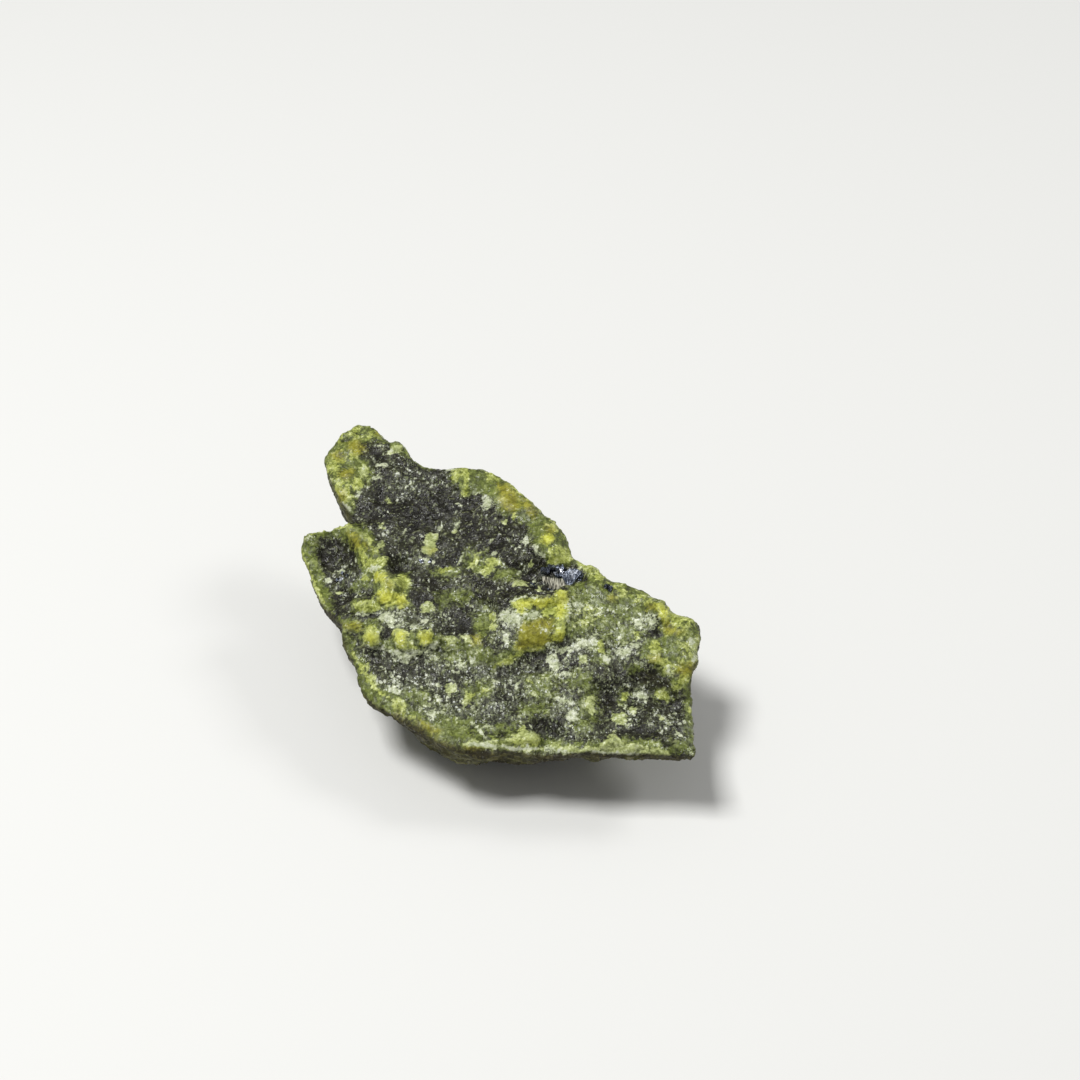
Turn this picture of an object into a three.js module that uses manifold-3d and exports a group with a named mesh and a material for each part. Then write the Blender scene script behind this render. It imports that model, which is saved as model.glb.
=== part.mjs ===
// Serpentine rock: a broken chip of lizardite, one natural piece of stone.
// Millimetres, +Z up. The stone rests on a flat spot of its rounded belly, its broken face
// up and tilted a little towards -Y. The origin is under the middle of its box, on the floor.
import * as THREE from 'three';
import { mergeVertices } from 'three/addons/utils/BufferGeometryUtils.js';
import Module from 'manifold-3d';

const wasm = await Module();
wasm.setup();

// ---- driving dimensions --------------------------------------------------------------------

// The broken top face is close to one plane, which climbs towards the back.
const FACE_HEIGHT = 8.15;        // height of that plane over the origin
const FACE_CLIMB_X = 0.03;       // rise for each mm towards +X
const FACE_CLIMB_Y = 0.189;      // rise for each mm towards +Y

// Outline of the stone seen from above, counter-clockwise from the tip of its back lobe.
const OUTLINE = [
  // back lobe, down its left side to the notch
  [-10.4, 14.2], [-11.6, 12.9], [-12.5, 11.2], [-12.1, 8.9], [-11.3, 7.2], [-10.3, 5.9],
  // left lobe
  [-11.1, 5.4], [-12.8, 4.9], [-13.7, 4.3], [-13.8, 3.3], [-13.1, 1.5], [-12.2, -1.0], [-11.2, -2.4],
  // left flank, with its small nick
  [-10.7, -3.3], [-10.7, -4.4], [-9.8, -5.6], [-9.4, -7.1], [-8.4, -8.9],
  // front edge
  [-6.9, -10.0], [-5.3, -11.1], [-3.8, -12.1], [-2.6, -12.9], [-1.1, -13.1], [1.2, -13.1],
  [3.2, -13.4], [6.8, -13.5], [11.2, -13.6], [13.2, -14.0],
  // right flank, with a small step
  [13.1, -12.9], [13.2, -8.6], [12.9, -8.1], [13.6, -6.4], [13.7, -3.8],
  // long edge at the back right
  [13.3, -3.1], [11.8, -2.5], [11.1, -1.6], [10.1, -0.7], [7.8, 0.3], [6.7, 1.4], [5.3, 2.0],
  [4.8, 3.9], [3.5, 5.8], [1.9, 7.2], [0.1, 9.2], [-1.2, 9.7], [-2.6, 9.8], [-5.0, 10.2],
  // right side of the back lobe
  [-6.3, 10.9], [-7.3, 12.3], [-8.9, 13.5],
];
const MIDDLE = [0.0, -2.4];      // every spoke of the mesh runs from here to the outline

// The belly: how far its rounded core reaches from MIDDLE, how thick the stone's edge is and how
// full the side bulges below it, all by compass angle about MIDDLE.
const BELLY = [
  { angle: -170, reach: 6.6, edge: 0.9, bulge: 0.45 },   // left flank
  { angle: -133, reach: 7.2, edge: 0.6, bulge: 0.1 },   // steep front-left wall
  { angle: -108, reach: 7.9, edge: 0.6, bulge: 0.1 },   // steep front wall
  { angle: -74, reach: 6.8, edge: 0.5, bulge: 0.2 },     // start of the thin front lip
  { angle: -42, reach: 6.2, edge: 0.5, bulge: 0.1 },     // thin front-right corner
  { angle: -20, reach: 6.0, edge: 1.1, bulge: 0.3 },     // right flank
  { angle: 5, reach: 6.0, edge: 1.0, bulge: 0.45 },
  { angle: 35, reach: 5.4, edge: 1.0, bulge: 0.6 },      // back-right edge
  { angle: 80, reach: 6.0, edge: 1.0, bulge: 0.6 },
  { angle: 127, reach: 6.0, edge: 0.8, bulge: 0.3 },     // under the back lobe
  { angle: 155, reach: 6.0, edge: 0.8, bulge: 0.3 },     // under the left lobe
];

// Broken planes that cut the belly: each climbs from its foot on the floor towards an angle.
const BELLY_CUTS = [
  { foot: [-4.4, -0.8], toward: 158, slope: 35 },        // under the left lobe
  { foot: [-3.0, 2.0], toward: 121, slope: 33 },         // under the back lobe
  { foot: [-0.6, 2.4], toward: 76, slope: 49 },
  { foot: [2.9, 0.2], toward: 42, slope: 50 },
  { foot: [3.9, -3.4], toward: 6, slope: 34 },           // under the right flank
  { foot: [3.2, -6.6], toward: -46, slope: 23 },         // under the front-right corner
  { foot: [1.2, -8.0], toward: -84, slope: 36 },         // under the front lip
  { foot: [-5.2, -5.0], toward: 196, slope: 47 },        // left flank
  // shallow cuts that leave only a small flat spot to stand on
  { foot: [-3.7, -2.6], toward: 178, slope: 13 },
  { foot: [2.5, -2.2], toward: -12, slope: 12 },
  { foot: [-0.7, 1.0], toward: 98, slope: 15 },
  { foot: [-1.4, -6.4], toward: -104, slope: 11 },
];

const RINGS = 27;                // mesh rings from the middle of a face to the outline
const WALL_RINGS = 17;           // rings of the underside that climb from the spot to the edge
const EDGE_RINGS = 2;            // of these, the rings in the thin edge band
const UNDERCUT = 0.25;           // how far the edge band leans in

// ---- small helpers -------------------------------------------------------------------------

const clamp01 = (t) => Math.min(1, Math.max(0, t));
const smooth = (t) => clamp01(t) ** 2 * (3 - 2 * clamp01(t));

/** Pseudo-random number from 0 to 1 for a lattice cell. */
function lattice(i, j, seed) {
  const s = Math.sin(i * 127.1 + j * 311.7 + seed * 74.7) * 43758.5453;
  return s - Math.floor(s);
}

/** Smooth value noise from -1 to 1, with cells one unit wide. */
function noise(x, y, seed) {
  const i = Math.floor(x);
  const j = Math.floor(y);
  const u = smooth(x - i);
  const v = smooth(y - j);
  const low = THREE.MathUtils.lerp(lattice(i, j, seed), lattice(i + 1, j, seed), u);
  const high = THREE.MathUtils.lerp(lattice(i, j + 1, seed), lattice(i + 1, j + 1, seed), u);
  return 2 * THREE.MathUtils.lerp(low, high, v) - 1;
}

/** Broken stone: flat chips about `size` wide, each tilted its own way. Result from -1 to 1. */
function chips(x, y, z, size, seed) {
  const place = new THREE.Vector3(x, y, z).divideScalar(size);
  const home = place.clone().floor();
  let nearest = Infinity;
  let height = 0;
  for (let n = 0; n < 27; n += 1) {
    const i = home.x + (n % 3) - 1;
    const j = home.y + (Math.floor(n / 3) % 3) - 1;
    const k = home.z + Math.floor(n / 9) - 1;
    const random = (use) => lattice(i + 57 * k, j + 113 * k, seed + use);
    const dx = place.x - i - random(0);
    const dy = place.y - j - random(1);
    const dz = place.z - k - random(2);
    const far = dx * dx + dy * dy + dz * dz;
    if (far < nearest) {
      nearest = far;
      const tilt = (random(3) - 0.5) * dx + (random(4) - 0.5) * dy + (random(5) - 0.5) * dz;
      height = random(6) - 0.5 + 1.2 * tilt;
    }
  }
  return height;
}

/** Height of a line of [x, y] points at x, level beyond its ends. */
function lineAt(points, x) {
  if (x <= points[0][0]) return points[0][1];
  for (let k = 1; k < points.length; k += 1) {
    const [x0, y0] = points[k - 1];
    const [x1, y1] = points[k];
    if (x <= x1) return THREE.MathUtils.mapLinear(x, x0, x1, y0, y1);
  }
  return points[points.length - 1][1];
}

/** Distance from a point to a chain of [x, y] points. */
function distanceToChain(points, x, y) {
  let least = Infinity;
  for (let k = 1; k < points.length; k += 1) {
    const [x0, y0] = points[k - 1];
    const [x1, y1] = points[k];
    const along = clamp01(((x - x0) * (x1 - x0) + (y - y0) * (y1 - y0)) / ((x1 - x0) ** 2 + (y1 - y0) ** 2));
    least = Math.min(least, Math.hypot(x - x0 - along * (x1 - x0), y - y0 - along * (y1 - y0)));
  }
  return least;
}

/** 1 inside an oval, falling to 0 past its edge: `soft` is the share of the radius it falls over. */
function oval(x, y, { at, size, turn = 0, soft = 0.5 }) {
  const a = THREE.MathUtils.degToRad(turn);
  const dx = x - at[0];
  const dy = y - at[1];
  const u = (dx * Math.cos(a) + dy * Math.sin(a)) / size[0];
  const v = (dy * Math.cos(a) - dx * Math.sin(a)) / size[1];
  return 1 - smooth((Math.hypot(u, v) - (1 - soft)) / (2 * soft));
}

// ---- the broken top face -------------------------------------------------------------------

// Lumps (up) and hollows (down) of the face: place, half sizes, turn in degrees, height.
const LUMPS = [
  // three nubs on the ledge, and the knot where the left ridge's arms meet
  { at: [-8.4, -4.3], size: [0.8, 0.7], rise: 0.5 },
  { at: [-6.3, -4.7], size: [0.7, 1.0], rise: 0.55 },
  { at: [-4.6, -4.5], size: [0.8, 0.7], rise: 0.5 },
  { at: [-7.5, -0.9], size: [1.0, 0.8], turn: 60, rise: 0.5 },
  // the mass in the middle: its flat top, its white side and its steep amber block
  { at: [3.0, -1.6], size: [2.9, 0.9], turn: 5, rise: 0.5, soft: 0.3 },
  { at: [1.4, -3.0], size: [1.5, 1.1], turn: 20, rise: 0.45 },
  { at: [3.1, -4.1], size: [2.1, 1.2], turn: 15, rise: 0.6, soft: 0.3 },
  // brow over the crystals, and the lumpy rim behind
  { at: [3.1, 3.0], size: [1.5, 1.0], turn: -45, rise: 0.45 },
  { at: [0.9, 6.8], size: [1.8, 1.0], turn: -40, rise: 0.25 },
  { at: [-3.0, 9.0], size: [2.0, 0.9], turn: -5, rise: 0.25 },
  { at: [7.2, -0.9], size: [1.6, 0.9], turn: -20, rise: 0.3 },
  // right-hand corner and flank
  { at: [11.0, -2.9], size: [1.0, 1.0], rise: 0.5 },
  { at: [12.6, -4.1], size: [1.0, 1.0], rise: 0.45 },
  { at: [10.6, -6.4], size: [1.3, 0.7], turn: 10, rise: 0.45 },
  { at: [12.7, -6.6], size: [0.9, 0.9], rise: 0.5 },
  // the raised left margin of the back lobe
  { at: [-11.3, 10.2], size: [1.2, 3.4], turn: -8, rise: 0.35 },
  // pointed lump and the front lip
  { at: [2.0, -12.2], size: [1.1, 0.7], turn: 20, rise: 0.35 },
  { at: [8.6, -12.8], size: [3.4, 0.5], turn: 2, rise: 0.35 },
  { at: [-0.6, -12.5], size: [2.8, 0.5], turn: 0, rise: 0.2 },
];
const HOLLOWS = [
  { at: [-11.3, 1.6], size: [1.5, 2.9], turn: 8, fall: 0.85 },     // dish of the left lobe
  { at: [-6.6, 1.6], size: [0.8, 0.7], fall: 0.5 },
  { at: [2.2, 0.8], size: [1.3, 0.8], turn: 10, fall: 0.9 },       // cave left of the crystals
  { at: [3.6, -0.4], size: [1.0, 0.5], turn: 5, fall: 0.6 },
  { at: [3.2, -11.6], size: [1.1, 1.0], fall: 0.8, soft: 0.3 },    // pit by the front edge
  { at: [-2.4, -2.6], size: [2.0, 1.6], fall: 0.45 },
  { at: [-3.6, 4.4], size: [4.4, 3.2], turn: -25, fall: 0.35, soft: 0.8 },
  { at: [-2.0, -8.8], size: [4.6, 2.2], turn: -8, fall: 0.3, soft: 0.7 },
];

// The ledge that crosses the face: the ground behind it stands higher than the ground before it.
const LEDGE = [
  [-10.7, -4.4], [-8.4, -5.1], [-7.1, -5.6], [-6.1, -6.3], [-4.4, -5.3], [-2.2, -5.1], [-1.0, -6.3],
  [0.5, -6.6], [1.5, -6.0], [3.6, -5.2], [5.2, -4.7],
];
const LEDGE_STEP = 0.75;         // its height
const LEDGE_WIDTH = 0.35;        // half the width over which it drops
const LEDGE_FADE = [3.6, 6.4];   // it runs out between these X places

// The scoop in the front right: a steep wall under this crest, then a floor that climbs to the lip.
const SCOOP_CREST = [[5.6, -8.4], [6.5, -7.5], [8.8, -7.4], [9.8, -7.0], [10.9, -7.3], [11.8, -8.1], [13.3, -8.1]];
const SCOOP_DEPTH = 1.35;
const SCOOP_WALL = 0.9;          // how far the wall takes to reach that depth
const SCOOP_LENGTH = 5.6;        // from the crest to where the floor is back at the face

// The V-shaped ridge that parts the left lobe's dish from the main face.
const LEFT_RIDGE = [[-10.4, 4.6], [-9.2, 3.4], [-7.8, 1.9], [-7.8, 0.3], [-7.4, -1.0], [-8.7, -1.9], [-10.3, -2.0]];
const LEFT_RIDGE_RISE = 0.55;
const LEFT_RIDGE_WIDTH = 0.85;
const LOBE_DROP = 0.35;          // the left lobe lies this much under the main face

// A row of parallel scratches on the main face, where the mineral split along its grain.
const SCRATCHES = { at: [-6.2, 8.0], size: [1.6, 1.3], spacing: 0.55, lean: 70, depth: 0.16 };

/** How much the ledge, scoop, ridge and scratches move the face at a point. */
function landforms(x, y) {
  const fade = 1 - smooth((x - LEDGE_FADE[0]) / (LEDGE_FADE[1] - LEDGE_FADE[0]));
  const above = smooth(0.5 + (y - lineAt(LEDGE, x)) / (2 * LEDGE_WIDTH));
  let z = LEDGE_STEP * fade * (above - 0.5);

  const below = lineAt(SCOOP_CREST, x) - y;
  const wall = smooth(below / SCOOP_WALL);
  const floor = 1 - smooth((below - SCOOP_WALL) / (SCOOP_LENGTH - SCOOP_WALL));
  z -= SCOOP_DEPTH * wall * floor * smooth((x - 5.2) / 2.6);

  const ridge = distanceToChain(LEFT_RIDGE, x, y);
  z += LEFT_RIDGE_RISE * (1 - smooth(ridge / LEFT_RIDGE_WIDTH));
  z -= LOBE_DROP * oval(x, y, { at: [-11.4, 1.4], size: [3.2, 3.8], soft: 0.25 });

  const lean = THREE.MathUtils.degToRad(SCRATCHES.lean);
  const across = (x - SCRATCHES.at[0]) * Math.sin(lean) - (y - SCRATCHES.at[1]) * Math.cos(lean);
  z -= SCRATCHES.depth * oval(x, y, SCRATCHES) * (0.5 + 0.5 * Math.cos((2 * Math.PI * across) / SCRATCHES.spacing));
  return z;
}

/** Rough ground: chips, lumps and grain, stronger towards the outline (`rim` runs from 0 to 1). */
function roughness(x, y, rim) {
  const edge = smooth((rim - 0.82) / 0.18);
  let z = 0.3 * chips(x + 0.4 * noise(x, y, 31), y + 0.4 * noise(x, y, 32), 0, 2.3, 3);
  z += (0.2 + 0.2 * edge) * chips(x, y, 0, 1.15, 11);
  z += (0.10 + 0.14 * edge) * noise(x / 0.8, y / 0.8, 21);
  return z;
}

/** Height of the top face. */
function topHeight(x, y, rim) {
  let z = FACE_HEIGHT + FACE_CLIMB_X * x + FACE_CLIMB_Y * y;
  z += landforms(x, y) + roughness(x, y, rim);
  for (const lump of LUMPS) z += lump.rise * oval(x, y, lump);
  for (const hollow of HOLLOWS) z -= hollow.fall * oval(x, y, hollow);
  return z - 0.35 * smooth((rim - 0.93) / 0.07);
}

// ---- outline and belly ---------------------------------------------------------------------

const outlineCurve = new THREE.CatmullRomCurve3(
  OUTLINE.map(([x, y]) => new THREE.Vector3(x, y, 0)), true, 'catmullrom', 0.25);
outlineCurve.arcLengthDivisions = 800;

/** Point on the outline, `share` of the way round, with small nicks. */
function outlineAt(share) {
  const p = outlineCurve.getPointAt(((share % 1) + 1) % 1);
  const out = new THREE.Vector2(p.x - MIDDLE[0], p.y - MIDDLE[1]);
  return out.multiplyScalar(1 + 0.012 * noise(p.x / 0.9, p.y / 0.9, 41));
}

/** The belly's reach, edge and bulge at an angle in degrees, eased between the listed angles. */
function bellyAt(angle) {
  const count = BELLY.length;
  for (let k = 0; k < count; k += 1) {
    const from = BELLY[k];
    const to = BELLY[(k + 1) % count];
    const span = (to.angle - from.angle + 360) % 360;
    const past = (angle - from.angle + 360) % 360;
    if (past <= span) {
      const t = smooth(past / span);
      return {
        reach: THREE.MathUtils.lerp(from.reach, to.reach, t),
        edge: THREE.MathUtils.lerp(from.edge, to.edge, t),
        bulge: THREE.MathUtils.lerp(from.bulge, to.bulge, t),
      };
    }
  }
  return BELLY[0];
}

/** Point of the top face on ring `ring` (0 at the middle, 1 at the outline). */
function topPoint(ring, share) {
  const spoke = outlineAt(share);
  const x = MIDDLE[0] + ring * spoke.x;
  const y = MIDDLE[1] + ring * spoke.y;
  return new THREE.Vector3(x, y, topHeight(x, y, ring));
}

/** Height that the broken planes leave under a point. */
function bellyCut(x, y) {
  let z = 0;
  for (const { foot, toward, slope } of BELLY_CUTS) {
    const a = THREE.MathUtils.degToRad(toward);
    const past = (x - foot[0]) * Math.cos(a) + (y - foot[1]) * Math.sin(a);
    z = Math.max(z, past * Math.tan(THREE.MathUtils.degToRad(slope)));
  }
  return z;
}

/** Point of the underside on ring `ring`: the edge band, the side wall, then the belly. */
function bottomPoint(ring, share) {
  const spoke = outlineAt(share);
  const length = spoke.length();
  const belly = bellyAt(THREE.MathUtils.radToDeg(Math.atan2(spoke.y, spoke.x)));
  const rim = topPoint(1, share);
  const fromEdge = (1 - ring) * RINGS;
  const band = clamp01(fromEdge / EDGE_RINGS);
  const along = new THREE.Vector2(length - UNDERCUT * band, rim.z - belly.edge * band);
  if (fromEdge > EDGE_RINGS) {
    // a curve from the foot of the edge band to the belly, pulled to a full corner by the bulge
    const end = new THREE.Vector2(belly.reach, 0);
    const corner = new THREE.Vector2(along.x, 0);
    const pull = along.clone().add(end).multiplyScalar(0.5).lerp(corner, belly.bulge);
    const wall = new THREE.QuadraticBezierCurve(along.clone(), pull, end);
    const down = clamp01((fromEdge - EDGE_RINGS) / (WALL_RINGS - EDGE_RINGS));
    wall.getPoint(down, along);
    const tangent = wall.getTangent(down);
    const x = MIDDLE[0] + (spoke.x * along.x) / length;
    const y = MIDDLE[1] + (spoke.y * along.x) / length;
    const rough = smooth(along.y / 1.2) * smooth((fromEdge - EDGE_RINGS) / 3);
    const bump = rough * (0.7 * chips(x, y, along.y, 3.3, 51) + 0.35 * chips(x, y, along.y, 1.5, 61));
    along.x -= tangent.y * bump;
    along.y += tangent.x * bump;
  }
  if (fromEdge > WALL_RINGS) {
    along.set((belly.reach * (RINGS - fromEdge)) / (RINGS - WALL_RINGS), 0);
  }
  const x = MIDDLE[0] + (spoke.x * along.x) / length;
  const y = MIDDLE[1] + (spoke.y * along.x) / length;
  const cut = bellyCut(x, y);
  const cutRough = smooth(cut / 0.8) * (0.35 * chips(x, y, 0, 2.6, 71) + 0.2 * chips(x, y, 0, 1.2, 81));
  const roof = topHeight(x, y, along.x / length) - belly.edge;
  const z = Math.max(along.y, Math.min(cut + cutRough, roof), 0);
  return new THREE.Vector3(x, y, fromEdge <= EDGE_RINGS ? along.y : z);
}

// ---- mesh ----------------------------------------------------------------------------------

/** Two six-sided cones, base to base: its upper half is the top face, its lower the underside. */
function bipyramid() {
  const corners = [0, 0, 1, 0, 0, -1];
  const faces = [];
  for (let k = 0; k < 6; k += 1) {
    const a = (k * Math.PI) / 3;
    corners.push(Math.cos(a), Math.sin(a), 0);
    const here = 2 + k;
    const next = 2 + ((k + 1) % 6);
    faces.push(0, here, next, 1, next, here);
  }
  return new THREE.PolyhedronGeometry(corners, faces, 1, RINGS - 1);
}

/** Moves each point of the bipyramid to its place on the stone. */
function stoneGeometry() {
  const source = bipyramid();
  source.deleteAttribute('normal');
  source.deleteAttribute('uv');
  const geometry = mergeVertices(source, 1e-5);
  const position = geometry.getAttribute('position');
  for (let i = 0; i < position.count; i += 1) {
    const x = position.getX(i);
    const y = position.getY(i);
    const z = position.getZ(i);
    const side = Math.floor((((Math.atan2(y, x) / Math.PI) * 3 + 6 + 1e-6) % 6));
    const middle = ((side + 0.5) * Math.PI) / 3;
    const reach = (x * Math.cos(middle) + y * Math.sin(middle)) / Math.cos(Math.PI / 6);
    const ring = reach / (reach + Math.abs(z));
    const along = reach > 1e-6
      ? 0.5 + (y * Math.cos(middle) - x * Math.sin(middle)) / (2 * reach * Math.sin(Math.PI / 6))
      : 0;
    const share = (side + along) / 6;
    const place = z >= -1e-6 ? topPoint(ring, share) : bottomPoint(ring, share);
    position.setXYZ(i, place.x, place.y, place.z);
  }
  return geometry;
}

// Chromite crystals under the brow: flat-faced prisms fused to the stone, with a row of pale
// fibre columns below them. Each is leaned forwards and sideways, in degrees.
const CRYSTALS = [
  { at: [5.15, 0.75], sides: 6, radius: 0.78, tip: 0.85, rise: 0.75, lean: [38, 8], turn: 12 },
  { at: [4.5, 1.15], sides: 4, radius: 0.42, tip: 0.6, rise: 0.7, lean: [20, -18], turn: 35 },
  { at: [4.0, 1.2], sides: 5, radius: 0.42, tip: 0.5, rise: 0.75, lean: [25, 12], turn: 20 },
  { at: [3.5, 0.95], sides: 4, radius: 0.38, tip: 0.6, rise: 0.55, lean: [30, -8], turn: 60 },
  { at: [5.95, 0.55], sides: 4, radius: 0.34, tip: 0.6, rise: 0.5, lean: [22, 20], turn: 15 },
];
const COLUMN_FIRST = [3.35, 0.5];
const COLUMN_STEP = [0.3, -0.04];
const COLUMN_COUNT = 5;
const PRISM_ROOT = 0.8;          // how deep a crystal or column is rooted in the stone

for (let k = 0; k < COLUMN_COUNT; k += 1) {
  CRYSTALS.push({
    at: [COLUMN_FIRST[0] + k * COLUMN_STEP[0], COLUMN_FIRST[1] + k * COLUMN_STEP[1]],
    sides: 5, radius: 0.17, tip: 0.9, rise: 0.35 + 0.1 * lattice(k, 0, 91), lean: [8, 3 * k - 6], turn: 25 * k,
  });
}

function crystalGeometry({ at, sides, radius, tip, rise, lean, turn }) {
  const height = rise + PRISM_ROOT;
  const geometry = new THREE.CylinderGeometry(radius * tip, radius, height, sides, 1);
  geometry.translate(0, height / 2 - PRISM_ROOT, 0);
  geometry.rotateX(Math.PI / 2);
  geometry.rotateZ(THREE.MathUtils.degToRad(turn));
  geometry.rotateX(THREE.MathUtils.degToRad(lean[0]));
  geometry.rotateY(THREE.MathUtils.degToRad(lean[1]));
  geometry.translate(at[0], at[1], topHeight(at[0], at[1], 0.8));
  return geometry;
}

/** A closed three.js geometry as a manifold solid. */
function solid(geometry) {
  const bare = geometry.clone();
  bare.deleteAttribute('normal');
  bare.deleteAttribute('uv');
  const merged = mergeVertices(bare, 1e-4);
  return new wasm.Manifold(new wasm.Mesh({
    numProp: 3,
    vertProperties: new Float32Array(merged.getAttribute('position').array),
    triVerts: new Uint32Array(merged.getIndex().array),
  }));
}

let stone = solid(stoneGeometry());
for (const crystal of CRYSTALS) stone = stone.add(solid(crystalGeometry(crystal)));

const { vertProperties, triVerts } = stone.getMesh();
const geometry = new THREE.BufferGeometry();
geometry.setAttribute('position', new THREE.BufferAttribute(vertProperties, 3));
geometry.setIndex(new THREE.BufferAttribute(triVerts, 1));
geometry.computeVertexNormals();

// The chips and nicks shift the stone's box a little, so it is centred on the origin last.
geometry.computeBoundingBox();
const middle = geometry.boundingBox.getCenter(new THREE.Vector3());
geometry.translate(-middle.x, -middle.y, 0);

const serpentine = new THREE.MeshStandardMaterial({ color: 0x5f6a35, roughness: 0.7, metalness: 0.0 });
const rock = new THREE.Mesh(geometry, serpentine);
rock.name = 'serpentine_rock';

const part = new THREE.Group();
part.add(rock);
export default part;
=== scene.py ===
import math
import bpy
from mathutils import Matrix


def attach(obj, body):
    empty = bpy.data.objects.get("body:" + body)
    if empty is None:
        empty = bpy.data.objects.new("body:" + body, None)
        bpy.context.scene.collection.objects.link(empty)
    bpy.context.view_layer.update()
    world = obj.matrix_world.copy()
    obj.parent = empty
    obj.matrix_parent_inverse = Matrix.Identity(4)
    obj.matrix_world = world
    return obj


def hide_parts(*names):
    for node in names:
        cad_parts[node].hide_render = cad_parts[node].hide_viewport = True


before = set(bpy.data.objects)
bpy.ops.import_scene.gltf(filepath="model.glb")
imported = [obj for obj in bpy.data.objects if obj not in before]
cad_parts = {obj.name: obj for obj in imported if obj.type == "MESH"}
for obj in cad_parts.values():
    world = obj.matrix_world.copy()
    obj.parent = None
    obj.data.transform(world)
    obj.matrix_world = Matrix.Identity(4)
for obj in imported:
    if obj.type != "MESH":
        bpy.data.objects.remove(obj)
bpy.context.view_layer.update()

from types import SimpleNamespace

import bmesh
import bpy
import numpy as np
from mathutils import Matrix, Vector, noise
from mathutils.bvhtree import BVHTree


# ---------------------------------------------------------------------------------------------
# The stone: one broken piece of serpentine, a dark grey-green ground full of fine glints with
# yellow-green lizardite grown through it and along its rims. It is one natural body, split from
# the rock by a hammer, so every side is a rough fracture and nothing is fixed to it.

MM = 0.001

# How fine the stone's mesh is, and how many times its flat facets are rubbed smooth.
GRAIN_STEP = 0.140 * MM
FACET_SMOOTHING = 9

# How far the stone's broad shape reaches, as rounds of averaging over neighbouring points.
BROAD_ROUNDS = 12


def merged_copy(node, name):
    """A new object with the node's shape, its loose triangles joined at their corners."""
    shape = bmesh.new()
    shape.from_mesh(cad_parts[node].data)
    bmesh.ops.remove_doubles(shape, verts=shape.verts, dist=1e-7)
    mesh = bpy.data.meshes.new(name)
    shape.to_mesh(mesh)
    shape.free()
    piece = bpy.data.objects.new(name, mesh)
    bpy.context.scene.collection.objects.link(piece)
    return piece


def settle(piece):
    """Applies a piece's modifiers to its mesh."""
    graph = bpy.context.evaluated_depsgraph_get()
    finished = bpy.data.meshes.new_from_object(piece.evaluated_get(graph))
    piece.modifiers.clear()
    piece.data = finished


def fine_grained(piece):
    """Gives the piece an even fine mesh and rounds off the flat facets."""
    grid = piece.modifiers.new("even_grain", "REMESH")
    grid.mode = "VOXEL"
    grid.voxel_size = GRAIN_STEP
    grid.adaptivity = 0.0
    worn = piece.modifiers.new("soft_facets", "SMOOTH")
    worn.factor = 0.5
    worn.iterations = FACET_SMOOTHING
    settle(piece)


def vertex_array(mesh, what):
    """The places or the directions of the mesh's points, one row for each."""
    values = np.empty(len(mesh.vertices) * 3)
    mesh.vertices.foreach_get(what, values)
    return values.reshape(-1, 3)


def neighbour_mean(mesh, values, rounds):
    """Averages values over neighbouring points, again and again."""
    edges = np.empty(len(mesh.edges) * 2, dtype=np.int64)
    mesh.edges.foreach_get("vertices", edges)
    a, b = edges[0::2], edges[1::2]
    count = np.bincount(edges, minlength=len(values)).astype(float)
    shape = (slice(None),) + (None,) * (values.ndim - 1)
    for _ in range(rounds):
        total = np.zeros_like(values)
        np.add.at(total, a, values[b])
        np.add.at(total, b, values[a])
        values = 0.5 * values + 0.5 * total / count[shape]
    return values


def smooth_step(low, high, values):
    """0 up to `low`, 1 from `high` on, and a soft rise between them."""
    t = np.clip((values - low) / (high - low), 0.0, 1.0)
    return t * t * (3.0 - 2.0 * t)


stone = merged_copy("serpentine_rock", "serpentine_stone")
fine_grained(stone)

at = vertex_array(stone.data, "co") / MM
outward = vertex_array(stone.data, "normal")
broad_outward = neighbour_mean(stone.data, outward, BROAD_ROUNDS)

# How far each point faces up: 0 underneath, 1 on top.
facing_up = smooth_step(-0.25, 0.25, broad_outward[:, 2])

# The fracture: slabs, chips and crumbs that broke off flat, and a fine roughness over all. How wide
# they are and how far they stand up or down, in millimetres.
SLAB_WIDTH = 1.6
SLAB_RELIEF = 0.08
CHIP_WIDTH = 0.55
CHIP_RELIEF = 0.055
CRUMB_WIDTH = 0.30
CRUMB_RELIEF = 0.045
ROUGH_WIDTH = 0.25
ROUGH_RELIEF = 0.02


def soft_noise(points, size, seed):
    """Smooth noise from about -1 to 1 whose lumps are `size` millimetres wide."""
    shift = Vector((17.3 * seed, 5.1 * seed, 11.7 * seed))
    return np.array([noise.noise(Vector(p) / size + shift) for p in points])


def fracture_chips(points, size, seed):
    """The flat chip `size` millimetres wide that each point lies on: its middle, and how far the
    leaning chip stands up or down there."""
    shift = Vector((3.7 * seed, 9.1 * seed, 6.3 * seed))
    middles = np.empty((len(points), 3))
    heights = np.empty(len(points))
    for i, p in enumerate(points):
        place = Vector(p) / size + shift
        middle = noise.voronoi(place)[1][0]
        lean = noise.cell_vector(middle * 37.0)
        middles[i] = (middle - shift) * size
        heights[i] = (place - middle).dot(lean - Vector((0.5, 0.5, 0.5))) * 2.0 + lean.z - 0.5
    return middles, heights


slabs = fracture_chips(at, SLAB_WIDTH, 3)[1]
chips = fracture_chips(at, CHIP_WIDTH, 1)[1]
crumb_middle, crumbs = fracture_chips(at, CRUMB_WIDTH, 2)

# The stone's main face is a slightly tilted plane: its height in the middle and how it climbs, in
# millimetres. The growths come out on that plane and run down into the stone at a slant.
FACE_HEIGHT = 8.20
FACE_CLIMB_X = 0.030
FACE_CLIMB_Y = 0.189
GROWTH_SLANT = 0.87

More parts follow.
